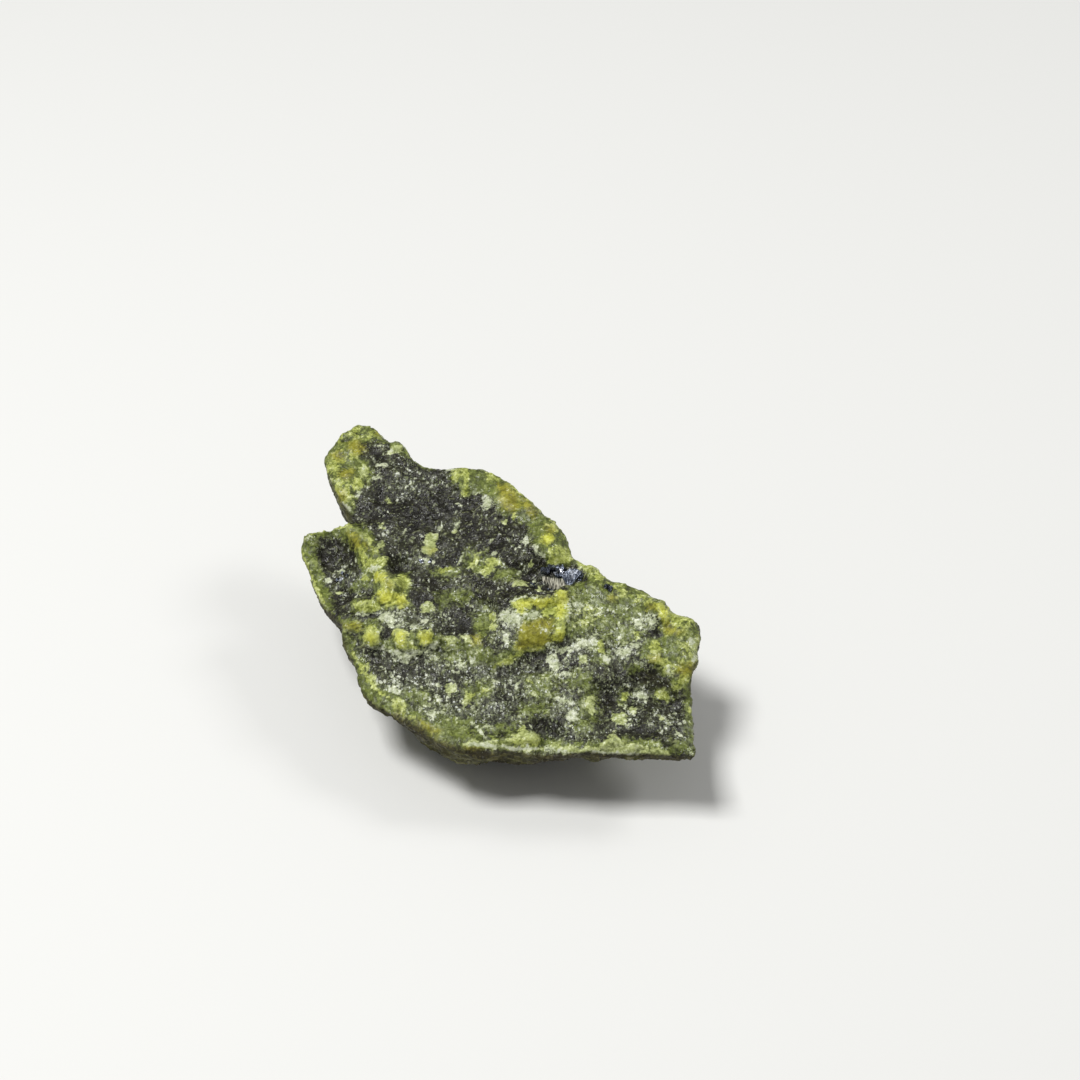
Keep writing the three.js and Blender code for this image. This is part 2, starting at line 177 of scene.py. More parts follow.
# Growths end at the edges of whole crystal grains, so a point's kind is partly that of its grain's
# middle. Their edges also wander to and fro: how wide the bends are and how far they go.
WHOLE_GRAINS = 0.4
BROAD_BENDS = 0.8
BROAD_WANDER = 0.12
FINE_BENDS = 0.3
FINE_WANDER = 0.18


def face_height(x, y):
    return FACE_HEIGHT + FACE_CLIMB_X * x + FACE_CLIMB_Y * y


def above_face(points):
    return points[:, 2] - face_height(points[:, 0], points[:, 1])


def on_face(points):
    """Where each point's growth comes out on the main face."""
    return points[:, 0], points[:, 1] + GROWTH_SLANT * above_face(points)


def wander(seed):
    """How far the growths' edges are off at each point, to one side or the other."""
    broad = soft_noise(at, BROAD_BENDS, seed)
    fine = soft_noise(at, FINE_BENDS, seed + 1)
    return BROAD_WANDER * broad + FINE_WANDER * fine


wander_x = wander(1)
wander_y = wander(3)


def spot_mask(x, y, spots, softness):
    """1 inside the oval spots, 0.5 on their edges and 0 outside."""
    mask = np.zeros(len(x))
    for cx, cy, half_length, half_width, turn in spots:
        c, s = math.cos(math.radians(turn)), math.sin(math.radians(turn))
        u = ((x - cx) * c + (y - cy) * s) / half_length
        v = ((y - cy) * c - (x - cx) * s) / half_width
        reach = np.sqrt(u * u + v * v)
        mask = np.maximum(mask, np.clip(0.5 + (1.0 - reach) / softness, 0.0, 1.0))
    return mask


def band_mask(x, y, bands, softness):
    """1 inside the tapering bands, 0.5 on their edges and 0 outside."""
    mask = np.zeros(len(x))
    for band in bands:
        for (ax, ay, aw), (bx, by, bw) in zip(band, band[1:]):
            length = math.hypot(bx - ax, by - ay)
            t = np.clip(((x - ax) * (bx - ax) + (y - ay) * (by - ay)) / length ** 2, 0.0, 1.0)
            off = np.hypot(x - ax - t * (bx - ax), y - ay - t * (by - ay))
            reach = off / (aw + t * (bw - aw))
            mask = np.maximum(mask, np.clip(0.5 + (1.0 - reach) / softness, 0.0, 1.0))
    return mask


def patch_mask(x, y, patches, softness):
    """1 inside the many-sided patches, 0.5 on their edges and 0 outside."""
    mask = np.zeros(len(x))
    for corners in patches:
        inside = np.zeros(len(x), dtype=bool)
        off_edge = np.full(len(x), np.inf)
        for (ax, ay), (bx, by) in zip(corners, corners[1:] + corners[:1]):
            along = ((x - ax) * (bx - ax) + (y - ay) * (by - ay)) / ((bx - ax) ** 2 + (by - ay) ** 2)
            t = np.clip(along, 0.0, 1.0)
            off_edge = np.minimum(off_edge, np.hypot(x - ax - t * (bx - ax), y - ay - t * (by - ay)))
            if ay != by:
                crossed = ((y < ay) != (y < by)) & (x < ax + (y - ay) * (bx - ax) / (by - ay))
                inside ^= crossed
        depth = np.where(inside, off_edge, -off_edge)
        mask = np.maximum(mask, np.clip(0.5 + depth / softness, 0.0, 1.0))
    return mask


def growth_mask(moved, shape_mask, shapes, softness):
    """How far each point lies inside the shapes, once the relief has moved it."""
    grain_x, grain_y = on_face(crumb_middle + moved)
    point_x, point_y = on_face(at + moved)
    grain = shape_mask(grain_x + wander_x, grain_y + wander_y, shapes, softness)
    point = shape_mask(point_x + wander_x, point_y + wander_y, shapes, softness)
    return WHOLE_GRAINS * grain + (1.0 - WHOLE_GRAINS) * point


# Where the growths lie on the main face, in millimetres. A patch is a row of corners (x, y). A band
# is a line of points (x, y, half width). A spot is an oval (x, y, half length, half width, turn in
# degrees), and so is a field, which is wider and fades out.

# Olive growth: the wide fields and rims of dull green serpentine.
OLIVE_PATCHES = [
    [(-12.7, 11.4), (-12.0, 12.2), (-11.6, 13.2), (-10.8, 13.6), (-10.6, 14.4), (-10.0, 14.2),
     (-9.0, 13.7), (-8.2, 13.4), (-7.6, 12.6), (-8.8, 12.8), (-9.6, 12.5), (-10.1, 12.0), (-10.0, 11.0),
     (-9.3, 10.4), (-9.3, 9.2), (-9.7, 8.2), (-10.2, 7.2), (-10.2, 6.0), (-10.9, 6.0), (-11.6, 7.2),
     (-12.2, 8.4), (-12.7, 10.0)],
    [(-14.2, 3.9), (-13.6, 4.7), (-12.2, 5.2), (-11.0, 5.3), (-9.6, 5.1), (-8.8, 4.2), (-8.5, 3.2),
     (-8.0, 2.4), (-7.5, 1.9), (-7.9, 1.2), (-7.5, 0.6), (-7.1, 0.6), (-6.6, 0.9), (-6.1, 0.9),
     (-6.1, -0.4), (-6.2, -1.0), (-5.9, -1.9), (-8.2, -2.3), (-9.9, -2.2), (-9.9, -1.3), (-8.4, -1.2),
     (-8.5, -0.3), (-9.8, -0.2), (-9.7, 0.6), (-9.4, 1.2), (-9.8, 2.0), (-10.1, 3.0), (-10.6, 3.8),
     (-11.4, 4.2), (-12.5, 4.2), (-12.9, 3.4), (-12.6, 1.8), (-12.0, 0.2), (-11.4, -1.4), (-11.2, -2.3),
     (-11.8, -2.0), (-12.6, -0.6), (-13.3, 1.0), (-14.0, 2.8)],
    [(-3.5, 10.2), (-2.0, 10.2), (-0.6, 9.8), (0.6, 8.8), (2.0, 7.4), (3.0, 6.2), (4.2, 5.0), (4.9, 4.0),
     (5.5, 2.4), (5.7, 1.8), (6.6, 1.6), (7.7, 0.6), (8.4, 0.2), (9.8, -0.3), (11.0, -1.2), (11.8, -2.4),
     (13.0, -3.0), (13.8, -3.8), (13.6, -4.9), (13.6, -6.4), (13.5, -7.9), (12.6, -8.6), (11.9, -9.2),
     (11.7, -8.5), (12.0, -7.9), (11.3, -7.9), (10.6, -7.0), (9.6, -6.3), (9.9, -5.2), (11.2, -5.0),
     (11.0, -4.2), (10.9, -3.0), (10.0, -2.8), (9.2, -3.2), (7.6, -2.6), (6.4, -3.2), (6.0, -2.4),
     (5.2, -1.9), (4.9, -1.0), (5.0, -0.4), (6.2, -0.2), (6.1, 1.0), (5.2, 1.3), (3.4, 1.3), (3.2, 2.2),
     (2.4, 3.2), (2.2, 4.6), (1.2, 5.2), (0.4, 5.6), (-0.1, 6.2), (-0.3, 7.4), (-1.0, 7.6), (-2.0, 7.4),
     (-2.7, 7.3), (-2.7, 8.6), (-3.3, 8.7)],
    [(1.0, -1.6), (1.7, -1.3), (2.8, -1.4), (3.2, -1.8), (3.8, -1.4), (4.2, -0.8), (4.9, -1.0),
     (5.0, -2.4), (4.9, -3.4), (4.7, -4.8), (3.7, -5.2), (3.1, -5.7), (1.9, -5.8), (1.3, -6.3),
     (0.8, -6.8), (-0.4, -7.3), (-0.4, -6.2), (0.6, -5.6), (1.2, -4.6), (1.5, -3.6), (1.2, -2.6)],
]
OLIVE_BANDS = [
    [(-10.8, 13.7, 0.4), (-9.6, 13.3, 0.4), (-8.4, 12.8, 0.3), (-7.2, 11.9, 0.3), (-6.0, 10.9, 0.3),
     (-4.8, 10.0, 0.3)],
    [(-10.8, -3.2, 0.5), (-10.1, -4.7, 0.4), (-9.7, -6.0, 0.5), (-9.2, -7.3, 0.6), (-8.7, -8.5, 0.6),
     (-7.8, -9.4, 0.6), (-6.8, -10.1, 0.6), (-5.8, -10.6, 0.6), (-4.8, -11.3, 0.6), (-3.6, -12.0, 0.7),
     (-2.4, -12.6, 0.6)],
    [(13.0, -8.2, 0.5), (13.1, -10.6, 0.5), (13.2, -13.0, 0.5)],
    [(-2.4, -12.7, 0.5), (0.0, -12.9, 0.5), (2.5, -13.1, 0.5), (5.0, -13.4, 0.5), (7.0, -13.4, 0.5),
     (8.5, -13.2, 0.5), (10.5, -13.5, 0.5), (12.0, -13.9, 0.3)],
    [(-8.8, -4.4, 0.5), (-8.2, -5.0, 0.3), (-6.9, -4.9, 0.5), (-5.8, -5.0, 0.5), (-5.2, -4.6, 0.7),
     (-3.8, -4.9, 0.4), (-2.4, -5.1, 0.5), (-1.4, -5.8, 0.7), (0.0, -6.4, 0.5)],
]
OLIVE_FIELDS = [
    (-9.6, 9.6, 0.6, 1.0, 0), (-9.5, -0.1, 0.9, 0.5, 0), (-10.0, -3.4, 1.0, 0.7, 0),
    (-8.4, -3.4, 0.8, 0.6, 0), (-3.6, 0.9, 1.1, 0.5, 0), (-0.9, 1.5, 0.9, 0.9, 0),
    (-1.9, 2.0, 0.7, 0.8, 0), (-3.8, -1.8, 0.5, 0.5, 0), (6.6, -1.8, 1.6, 1.4, 0),
    (7.0, -3.4, 2.0, 1.1, 0), (9.0, -2.6, 1.5, 1.2, 0), (8.6, -4.4, 1.8, 0.8, 0),
    (5.5, -4.0, 0.9, 0.9, 0), (6.9, -5.8, 0.7, 1.2, 20), (12.4, -6.0, 0.9, 1.0, 0),
    (3.0, -8.7, 1.2, 1.3, 10), (5.6, -8.2, 1.0, 0.8, 0), (6.2, -10.2, 0.7, 1.4, 0),
    (5.6, -11.6, 0.8, 0.7, 0), (2.6, -10.2, 1.2, 0.7, 0), (-2.6, -11.6, 2.4, 1.0, -12),
    (0.4, -11.9, 1.4, 0.6, 0), (-1.3, -8.9, 1.0, 0.8, 20), (-2.4, -5.8, 1.6, 1.0, 0),
    (-0.9, -3.2, 0.7, 1.3, 0), (-2.9, -1.2, 1.2, 0.6, 0), (8.5, -9.6, 0.4, 0.6, 0),
    (11.2, -9.5, 0.7, 0.6, 0), (0.6, 0.6, 0.9, 0.5, 0), (12.4, -13.3, 1.0, 0.5, -10),
    (-5.4, -9.2, 1.2, 0.7, 0), (-7.2, -9.0, 0.9, 0.6, 0), (9.2, -7.4, 0.6, 0.5, 0),
]

# Lime growth: brighter lizardite in blocks, thin rims and single grains, and mixed into the olive.
LIME_PATCHES = [
    [(-10.75, 13.2), (-10.7, 14.0), (-10.3, 14.3), (-10.0, 14.1), (-10.0, 13.5), (-10.3, 13.1)],
    [(-9.6, 13.5), (-9.1, 13.5), (-9.05, 12.9), (-9.3, 12.6), (-9.6, 12.8)],
    [(-11.7, 12.3), (-11.6, 13.1), (-11.3, 13.1), (-11.2, 12.4), (-11.4, 12.1)],
    [(-10.75, 11.8), (-10.3, 11.9), (-10.1, 11.3), (-10.2, 10.8), (-10.7, 10.7)],
    [(-12.2, 10.6), (-11.7, 10.7), (-11.4, 10.2), (-11.8, 9.8), (-12.3, 9.8)],
    [(-11.6, 9.2), (-11.2, 9.3), (-11.0, 8.7), (-11.3, 8.1), (-11.7, 8.3)],
    [(-10.3, 9.2), (-9.8, 9.1), (-9.7, 8.2), (-10.1, 8.0), (-10.3, 8.6)],
    [(-3.3, 9.0), (-3.25, 9.9), (-2.9, 10.0), (-2.6, 9.8), (-2.65, 9.2), (-2.95, 8.7), (-3.2, 8.75)],
    [(-2.5, 10.05), (-2.05, 10.0), (-2.1, 9.2), (-2.3, 8.8), (-2.55, 9.2)],
    [(-2.4, 8.8), (-2.1, 8.7), (-2.1, 7.9), (-2.15, 7.35), (-2.5, 7.25), (-2.75, 7.4), (-2.7, 7.9),
     (-2.45, 8.2)],
    [(-1.0, 9.5), (-0.3, 9.3), (0.0, 8.9), (-0.5, 8.7), (-0.9, 8.8)],
    [(3.4, 4.6), (3.9, 4.9), (4.5, 4.2), (4.1, 4.0)],
    [(3.4, 2.6), (4.2, 2.9), (5.0, 2.6), (5.5, 1.9), (5.2, 1.5), (4.4, 1.5), (3.9, 1.25), (3.4, 1.4),
     (3.5, 2.0)],
    [(5.5, 1.5), (6.2, 1.5), (6.7, 1.1), (6.9, 0.7), (6.2, 0.8), (5.7, 1.1)],
    [(6.7, 0.8), (7.3, 0.7), (7.8, 0.2), (7.2, -0.1), (6.6, 0.2)],
    [(-5.2, 4.1), (-4.3, 4.15), (-4.2, 3.6), (-4.3, 3.0), (-4.35, 2.45), (-4.55, 2.2), (-4.8, 2.5),
     (-5.15, 2.5), (-5.1, 3.3)],
    [(-10.0, 3.4), (-9.5, 3.4), (-9.2, 2.6), (-8.9, 2.1), (-8.5, 1.9), (-8.1, 2.3), (-7.75, 2.1),
     (-7.5, 1.85), (-7.9, 1.4), (-8.0, 1.0), (-8.9, 1.0), (-9.2, 1.5), (-9.6, 2.2)],
    [(-9.2, 4.2), (-8.9, 4.1), (-8.5, 3.2), (-8.2, 2.6), (-8.5, 2.5), (-8.9, 3.2)],
    [(-8.4, 0.9), (-7.8, 0.9), (-7.4, 0.5), (-7.0, 0.4), (-7.1, -0.4), (-6.9, -0.9), (-6.2, -1.2),
     (-6.05, -1.9), (-7.0, -1.7), (-7.6, -1.8), (-8.2, -1.6), (-8.2, -0.6), (-7.9, -0.2), (-8.2, 0.1),
     (-8.6, 0.4)],
    [(-7.0, 0.5), (-6.6, 0.8), (-6.2, 0.8), (-6.15, 0.0), (-6.4, -0.7), (-6.8, -0.6)],
    [(-9.8, -1.5), (-9.2, -1.3), (-8.2, -1.2), (-7.9, -1.6), (-8.1, -2.2), (-8.9, -2.45), (-9.7, -2.2)],
    [(-5.3, -1.8), (-4.85, -1.6), (-4.5, -1.55), (-4.45, -2.05), (-4.3, -2.4), (-4.8, -2.6), (-5.1, -2.5),
     (-5.25, -2.15)],
    [(-8.95, -3.5), (-8.35, -3.35), (-7.95, -3.85), (-7.9, -4.35), (-8.2, -4.65), (-8.05, -4.95),
     (-8.45, -5.15), (-8.75, -4.9), (-8.95, -4.5)],
    [(-7.05, -3.6), (-6.4, -3.75), (-6.0, -4.05), (-6.0, -4.7), (-5.5, -4.95), (-5.5, -5.2), (-5.9, -5.6),
     (-6.2, -5.85), (-6.6, -5.4), (-6.75, -4.75), (-6.95, -4.05)],
    [(-5.2, -3.85), (-4.7, -3.7), (-4.35, -4.05), (-4.2, -4.65), (-4.4, -5.0), (-4.85, -5.25),
     (-5.15, -5.0), (-5.3, -4.45)],
    [(1.05, -1.65), (1.7, -1.35), (2.4, -1.35), (2.8, -1.45), (2.6, -1.8), (2.5, -2.0), (2.4, -2.3),
     (1.9, -2.45), (1.6, -2.75), (1.3, -2.5), (1.1, -2.1)],
    [(3.85, -1.4), (4.1, -0.95), (4.45, -0.75), (4.75, -1.1), (4.95, -1.4), (4.9, -2.4), (4.85, -3.2),
     (4.6, -3.5), (4.6, -4.6), (4.4, -5.0), (3.7, -5.0), (3.8, -4.2), (4.0, -3.6), (4.1, -3.1),
     (3.1, -2.9), (3.1, -2.2), (3.9, -2.0)],
    [(2.0, -5.65), (1.5, -5.95), (1.2, -6.35), (0.9, -6.75), (0.3, -6.9), (-0.3, -7.2), (-0.3, -6.8),
     (0.6, -6.4), (1.0, -6.0), (1.5, -5.65)],
    [(1.05, 0.05), (1.5, 0.12), (2.0, 0.0), (2.1, -0.3), (1.9, -0.5), (1.4, -0.45), (1.1, -0.3)],
    [(10.8, -2.0), (11.25, -2.15), (11.65, -2.65), (11.6, -3.3), (11.3, -3.7), (11.1, -3.1),
     (11.0, -2.5)],
    [(11.4, -3.0), (12.2, -2.9), (12.9, -3.3), (12.6, -3.7), (11.8, -3.7)],
    [(9.3, -4.4), (9.7, -4.3), (9.7, -5.0), (9.3, -5.0)],
    [(10.9, -6.3), (11.3, -6.5), (11.8, -6.9), (12.1, -7.2), (11.95, -7.8), (11.6, -7.8), (11.35, -7.6),
     (11.1, -7.2), (10.7, -6.9)],
    [(12.0, -8.5), (12.5, -8.65), (13.2, -8.1), (12.8, -8.2), (12.3, -8.1)],
    [(11.7, -8.6), (12.2, -8.6), (12.4, -9.0), (12.1, -9.25), (11.8, -9.1)],
    [(10.6, -9.3), (11.1, -9.1), (11.6, -9.3), (11.7, -9.9), (11.1, -10.0), (10.8, -9.7)],
    [(8.4, -9.3), (8.8, -9.1), (8.9, -9.5), (8.7, -10.1), (8.4, -9.9)],
    [(5.6, -6.2), (6.1, -6.2), (6.1, -6.7), (5.8, -7.0), (5.6, -6.7)],
    [(0.8, -12.6), (1.2, -12.3), (1.8, -11.9), (2.7, -12.2), (2.9, -12.7), (3.0, -13.1), (2.0, -13.2),
     (1.2, -13.0)],
    [(-6.95, -9.4), (-6.4, -9.3), (-6.0, -9.7), (-5.95, -10.2), (-6.4, -10.3), (-6.9, -10.0)],
    [(-3.55, -8.55), (-3.3, -8.25), (-2.9, -8.25), (-2.7, -8.55), (-2.7, -8.95), (-3.05, -9.05),
     (-3.5, -8.95)],
    [(-2.1, -9.0), (-1.5, -9.1), (-1.6, -9.6), (-1.95, -9.95), (-2.25, -10.1), (-2.3, -9.85),
     (-2.1, -9.4)],
    [(-8.95, -6.4), (-8.65, -6.35), (-8.6, -6.8), (-8.85, -6.95)],
    [(-8.7, -7.3), (-8.45, -7.2), (-8.15, -7.7), (-8.3, -7.9), (-8.6, -7.6)],
]
LIME_BANDS = [
    [(-13.2, 4.5, 0.12), (-12.2, 4.9, 0.18), (-11.2, 4.95, 0.2), (-10.4, 5.0, 0.2)],
    [(-1.35, 2.4, 0.2), (-1.55, 1.7, 0.22), (-1.95, 1.2, 0.15)],
    [(-14.1, 3.6, 0.12), (-13.7, 2.4, 0.16), (-13.1, 1.1, 0.16), (-12.6, -0.3, 0.16),
     (-11.9, -1.6, 0.12)],
    [(-9.9, -5.2, 0.1), (-9.3, -6.6, 0.14), (-8.8, -7.6, 0.12), (-8.1, -8.6, 0.14), (-7.2, -9.3, 0.12)],
    [(-0.5, 9.6, 0.1), (0.8, 8.5, 0.14), (2.3, 6.9, 0.14), (3.6, 5.4, 0.14), (4.8, 3.9, 0.12)],
    [(7.9, 0.3, 0.1), (9.4, -0.4, 0.12), (10.6, -1.1, 0.12)],
    [(13.6, -4.6, 0.12), (13.7, -6.2, 0.14), (13.5, -7.6, 0.12)],
    [(7.0, -5.1, 0.2), (7.1, -6.0, 0.2)],
    [(-6.7, -10.2, 0.2), (-6.0, -10.7, 0.2), (-5.4, -11.0, 0.15)],
]
LIME_SPOTS = [
    (-3.05, 4.4, 0.22, 0.22, 0), (-0.45, 1.6, 0.45, 0.42, 0), (-0.7, 0.95, 0.6, 0.25, 20),
    (-3.6, 1.1, 0.55, 0.28, 0), (2.3, 1.4, 0.3, 0.12, 60), (-10.95, -0.6, 0.3, 0.18, 0),
    (-0.3, -2.85, 0.25, 0.4, 0), (-0.25, -3.8, 0.25, 0.35, 0), (10.7, -5.6, 0.35, 0.4, 0),
    (-0.7, -8.8, 0.3, 0.2, 0), (1.7, -11.8, 0.3, 0.2, 0), (12.9, -10.8, 0.2, 0.2, 0),
    (-9.2, 0.5, 0.35, 0.25, 0), (2.35, -8.2, 0.2, 0.2, 0), (0.45, 4.95, 0.22, 0.25, 0),
    (1.1, 5.45, 0.2, 0.35, 0),
]
LIME_FIELDS = [
    (6.3, 0.9, 1.1, 0.8, 0), (8.2, -0.9, 1.8, 0.8, -20), (10.2, -1.9, 1.4, 0.8, -20),
    (12.2, -4.2, 1.2, 1.0, 0), (12.8, -6.2, 0.9, 1.7, 0), (6.2, -3.0, 1.2, 1.2, 0),
    (13.2, -3.6, 0.8, 0.8, 0), (12.6, -7.8, 0.9, 0.6, 0), (-11.5, 10.4, 0.8, 2.0, 0),
    (-10.4, 13.2, 0.9, 0.8, 0), (-10.8, 7.9, 0.7, 1.6, 0),
]

# Milky growth: lime that is paler and duller than the rest.
MILKY_PATCHES = [
    [(-9.75, 10.4), (-9.5, 10.35), (-9.35, 9.8), (-9.35, 9.2), (-9.6, 9.1), (-9.9, 9.4), (-9.9, 9.9)],
    [(-8.0, 11.5), (-7.6, 11.9), (-7.0, 11.9), (-7.1, 11.4), (-7.8, 11.1)],
    [(-8.1, 7.4), (-7.7, 7.5), (-7.5, 7.1), (-7.7, 6.9), (-8.1, 7.0)],
    [(-8.35, 3.4), (-8.1, 3.7), (-7.85, 3.5), (-7.75, 3.15), (-8.0, 3.0), (-8.3, 3.1)],
    [(-8.5, 5.25), (-8.25, 5.2), (-7.95, 4.85), (-8.05, 4.65), (-8.35, 4.85)],
    [(-3.8, -4.45), (-3.1, -4.4), (-2.5, -4.7), (-2.65, -5.0), (-3.2, -4.9), (-3.6, -4.7)],
    [(-2.4, -4.4), (-1.8, -4.5), (-1.7, -4.95), (-2.1, -4.95)],
    [(2.8, -0.4), (3.0, -0.5), (3.1, -0.9), (2.85, -1.0), (2.75, -0.7)],
    [(13.1, -5.1), (13.5, -4.9), (13.6, -5.6), (13.6, -6.5), (13.3, -6.7), (13.2, -6.0)],
    [(10.7, -11.0), (11.1, -11.1), (11.3, -11.5), (11.0, -11.5)],
    [(6.0, -9.4), (6.7, -9.6), (6.65, -10.2), (6.5, -10.9), (6.2, -10.8), (6.1, -10.1)],
    [(6.85, -13.2), (7.35, -12.6), (7.75, -12.4), (8.2, -12.65), (8.5, -13.0), (9.2, -13.2),
     (10.3, -13.5), (10.8, -13.5), (11.2, -13.85), (11.9, -14.1), (11.0, -14.2), (9.3, -13.95),
     (6.85, -13.8)],
    [(-2.2, -12.8), (-1.6, -12.4), (-1.0, -12.9), (-0.2, -12.6), (0.4, -13.0), (1.8, -13.2), (3.0, -13.3),
     (3.4, -13.4), (3.8, -13.0), (4.4, -13.4), (5.0, -13.1), (5.6, -13.4), (6.2, -13.2), (6.85, -13.4),
     (6.85, -13.8), (4.6, -13.75), (3.0, -13.6), (1.6, -13.5), (0.0, -13.4), (-1.4, -13.2),
     (-2.2, -13.0)],
    [(8.9, -10.5), (9.2, -10.45), (9.4, -10.7), (9.25, -10.95), (8.95, -10.9)],
    [(7.8, -10.9), (8.4, -10.8), (8.8, -11.2), (8.6, -11.7), (8.0, -11.7), (7.75, -11.3)],
]

# Yellow growth: the waxy hearts of the lime.
YELLOW_PATCHES = [
    [(-8.85, -4.0), (-8.5, -3.8), (-8.15, -4.1), (-8.1, -4.6), (-8.45, -4.9), (-8.75, -4.7)],
    [(-6.9, -4.0), (-6.4, -3.9), (-6.15, -4.3), (-6.2, -4.9), (-6.5, -5.1), (-6.7, -4.7)],
    [(-5.15, -4.1), (-4.7, -3.95), (-4.4, -4.4), (-4.5, -4.85), (-4.9, -5.0), (-5.15, -4.7)],
    [(-8.15, -0.7), (-7.6, -0.4), (-7.2, -0.9), (-7.15, -1.3), (-7.7, -1.65), (-8.15, -1.45)],
    [(-8.4, 0.85), (-7.8, 0.8), (-7.6, 0.4), (-8.1, 0.2), (-8.5, 0.4)],
    [(-7.1, -0.9), (-6.5, -1.0), (-6.15, -1.6), (-6.5, -1.9), (-7.0, -1.6)],
    [(1.2, -1.75), (1.8, -1.6), (2.3, -1.7), (2.2, -2.1), (1.7, -2.45), (1.4, -2.3)],
    [(4.0, -1.2), (4.4, -0.8), (4.75, -1.1), (4.7, -1.3), (4.0, -1.4)],
    [(2.3, -1.5), (3.0, -1.6), (3.8, -1.5), (3.8, -2.0), (3.0, -2.2), (2.4, -2.0)],
    [(4.0, -1.95), (4.5, -1.9), (4.6, -2.7), (4.4, -3.1), (4.2, -2.8)],
    [(3.7, -4.2), (4.3, -4.1), (4.5, -4.6), (4.4, -4.95), (3.8, -4.95)],
    [(3.15, 3.8), (3.5, 4.0), (3.85, 3.7), (3.9, 3.4), (3.5, 3.0), (3.1, 3.3)],
    [(10.85, -2.05), (11.25, -2.2), (11.65, -2.7), (11.55, -3.3), (11.3, -3.6), (11.1, -3.0)],
]

# Amber growth: the warm parts that light shines into.
AMBER_PATCHES = [
    [(-10.6, 4.5), (-10.0, 4.4), (-9.5, 3.9), (-9.5, 3.2), (-9.9, 3.0), (-10.2, 3.4), (-10.4, 4.0)],
    [(-9.4, 3.6), (-9.0, 3.4), (-8.8, 2.9), (-9.1, 2.9)],
    [(-4.9, 3.0), (-4.4, 3.0), (-4.4, 2.4), (-4.7, 2.5)],
    [(-7.6, 0.5), (-7.2, 0.2), (-7.1, -0.6), (-7.5, -0.4), (-7.8, 0.1)],
    [(1.6, -3.6), (2.4, -3.4), (3.2, -3.1), (3.9, -3.2), (3.8, -3.9), (3.5, -4.2), (3.7, -4.9),
     (3.2, -5.4), (2.2, -5.6), (1.3, -5.7), (1.3, -4.9), (1.5, -4.2)],
    [(3.9, -1.75), (4.3, -1.4), (4.95, -1.25), (4.95, -1.7), (4.2, -1.9)],
    [(2.1, -1.5), (2.6, -1.4), (2.6, -1.8), (2.3, -1.8)],
    [(7.6, -1.3), (8.1, -1.3), (8.1, -1.75), (7.7, -1.8)],
    [(10.2, -2.1), (10.8, -2.1), (10.9, -2.6), (10.3, -2.7)],
    [(11.1, -3.3), (11.6, -3.3), (11.9, -4.0), (12.6, -4.3), (12.4, -4.7), (11.4, -4.5)],
    [(10.3, -6.3), (11.0, -6.2), (11.2, -6.7), (10.7, -6.9), (10.3, -6.8)],
    [(12.1, -7.2), (13.3, -6.9), (13.4, -7.8), (12.6, -8.0), (12.1, -7.9)],
    [(-0.1, 8.5), (0.6, 8.3), (1.4, 7.4), (1.5, 6.3), (1.1, 5.7), (0.4, 6.0), (0.1, 7.2)],
    [(1.4, 7.0), (2.1, 7.0), (2.6, 6.2), (2.8, 5.6), (2.4, 5.3), (1.9, 5.9)],
    [(3.2, 4.6), (3.9, 4.6), (4.0, 4.1), (3.3, 4.1)],
    [(-12.1, 11.3), (-11.5, 11.7), (-11.1, 11.4), (-11.2, 10.7), (-11.8, 10.9)],
    [(-11.4, 9.9), (-10.5, 10.0), (-10.3, 9.4), (-10.9, 9.1), (-11.4, 9.3)],
    [(-10.9, 12.4), (-10.2, 12.6), (-9.7, 12.2), (-9.8, 11.4), (-10.4, 11.2), (-10.8, 11.7)],
    [(-11.5, 8.2), (-11.0, 8.1), (-10.8, 7.3), (-11.2, 7.2)],
    [(-9.0, 13.4), (-8.6, 13.4), (-8.6, 12.9), (-9.0, 13.0)],
    [(-5.3, -11.0), (-4.6, -11.2), (-3.8, -11.8), (-3.9, -12.2), (-4.9, -11.8)],
    [(-2.0, -13.1), (-1.1, -13.2), (-1.1, -13.6), (-1.9, -13.6)],
    [(-1.7, -4.5), (-1.1, -4.4), (-1.1, -5.1), (-1.6, -5.1)],
    [(-10.6, -3.2), (-9.3, -3.2), (-9.2, -3.7), (-10.2, -3.7)],
]

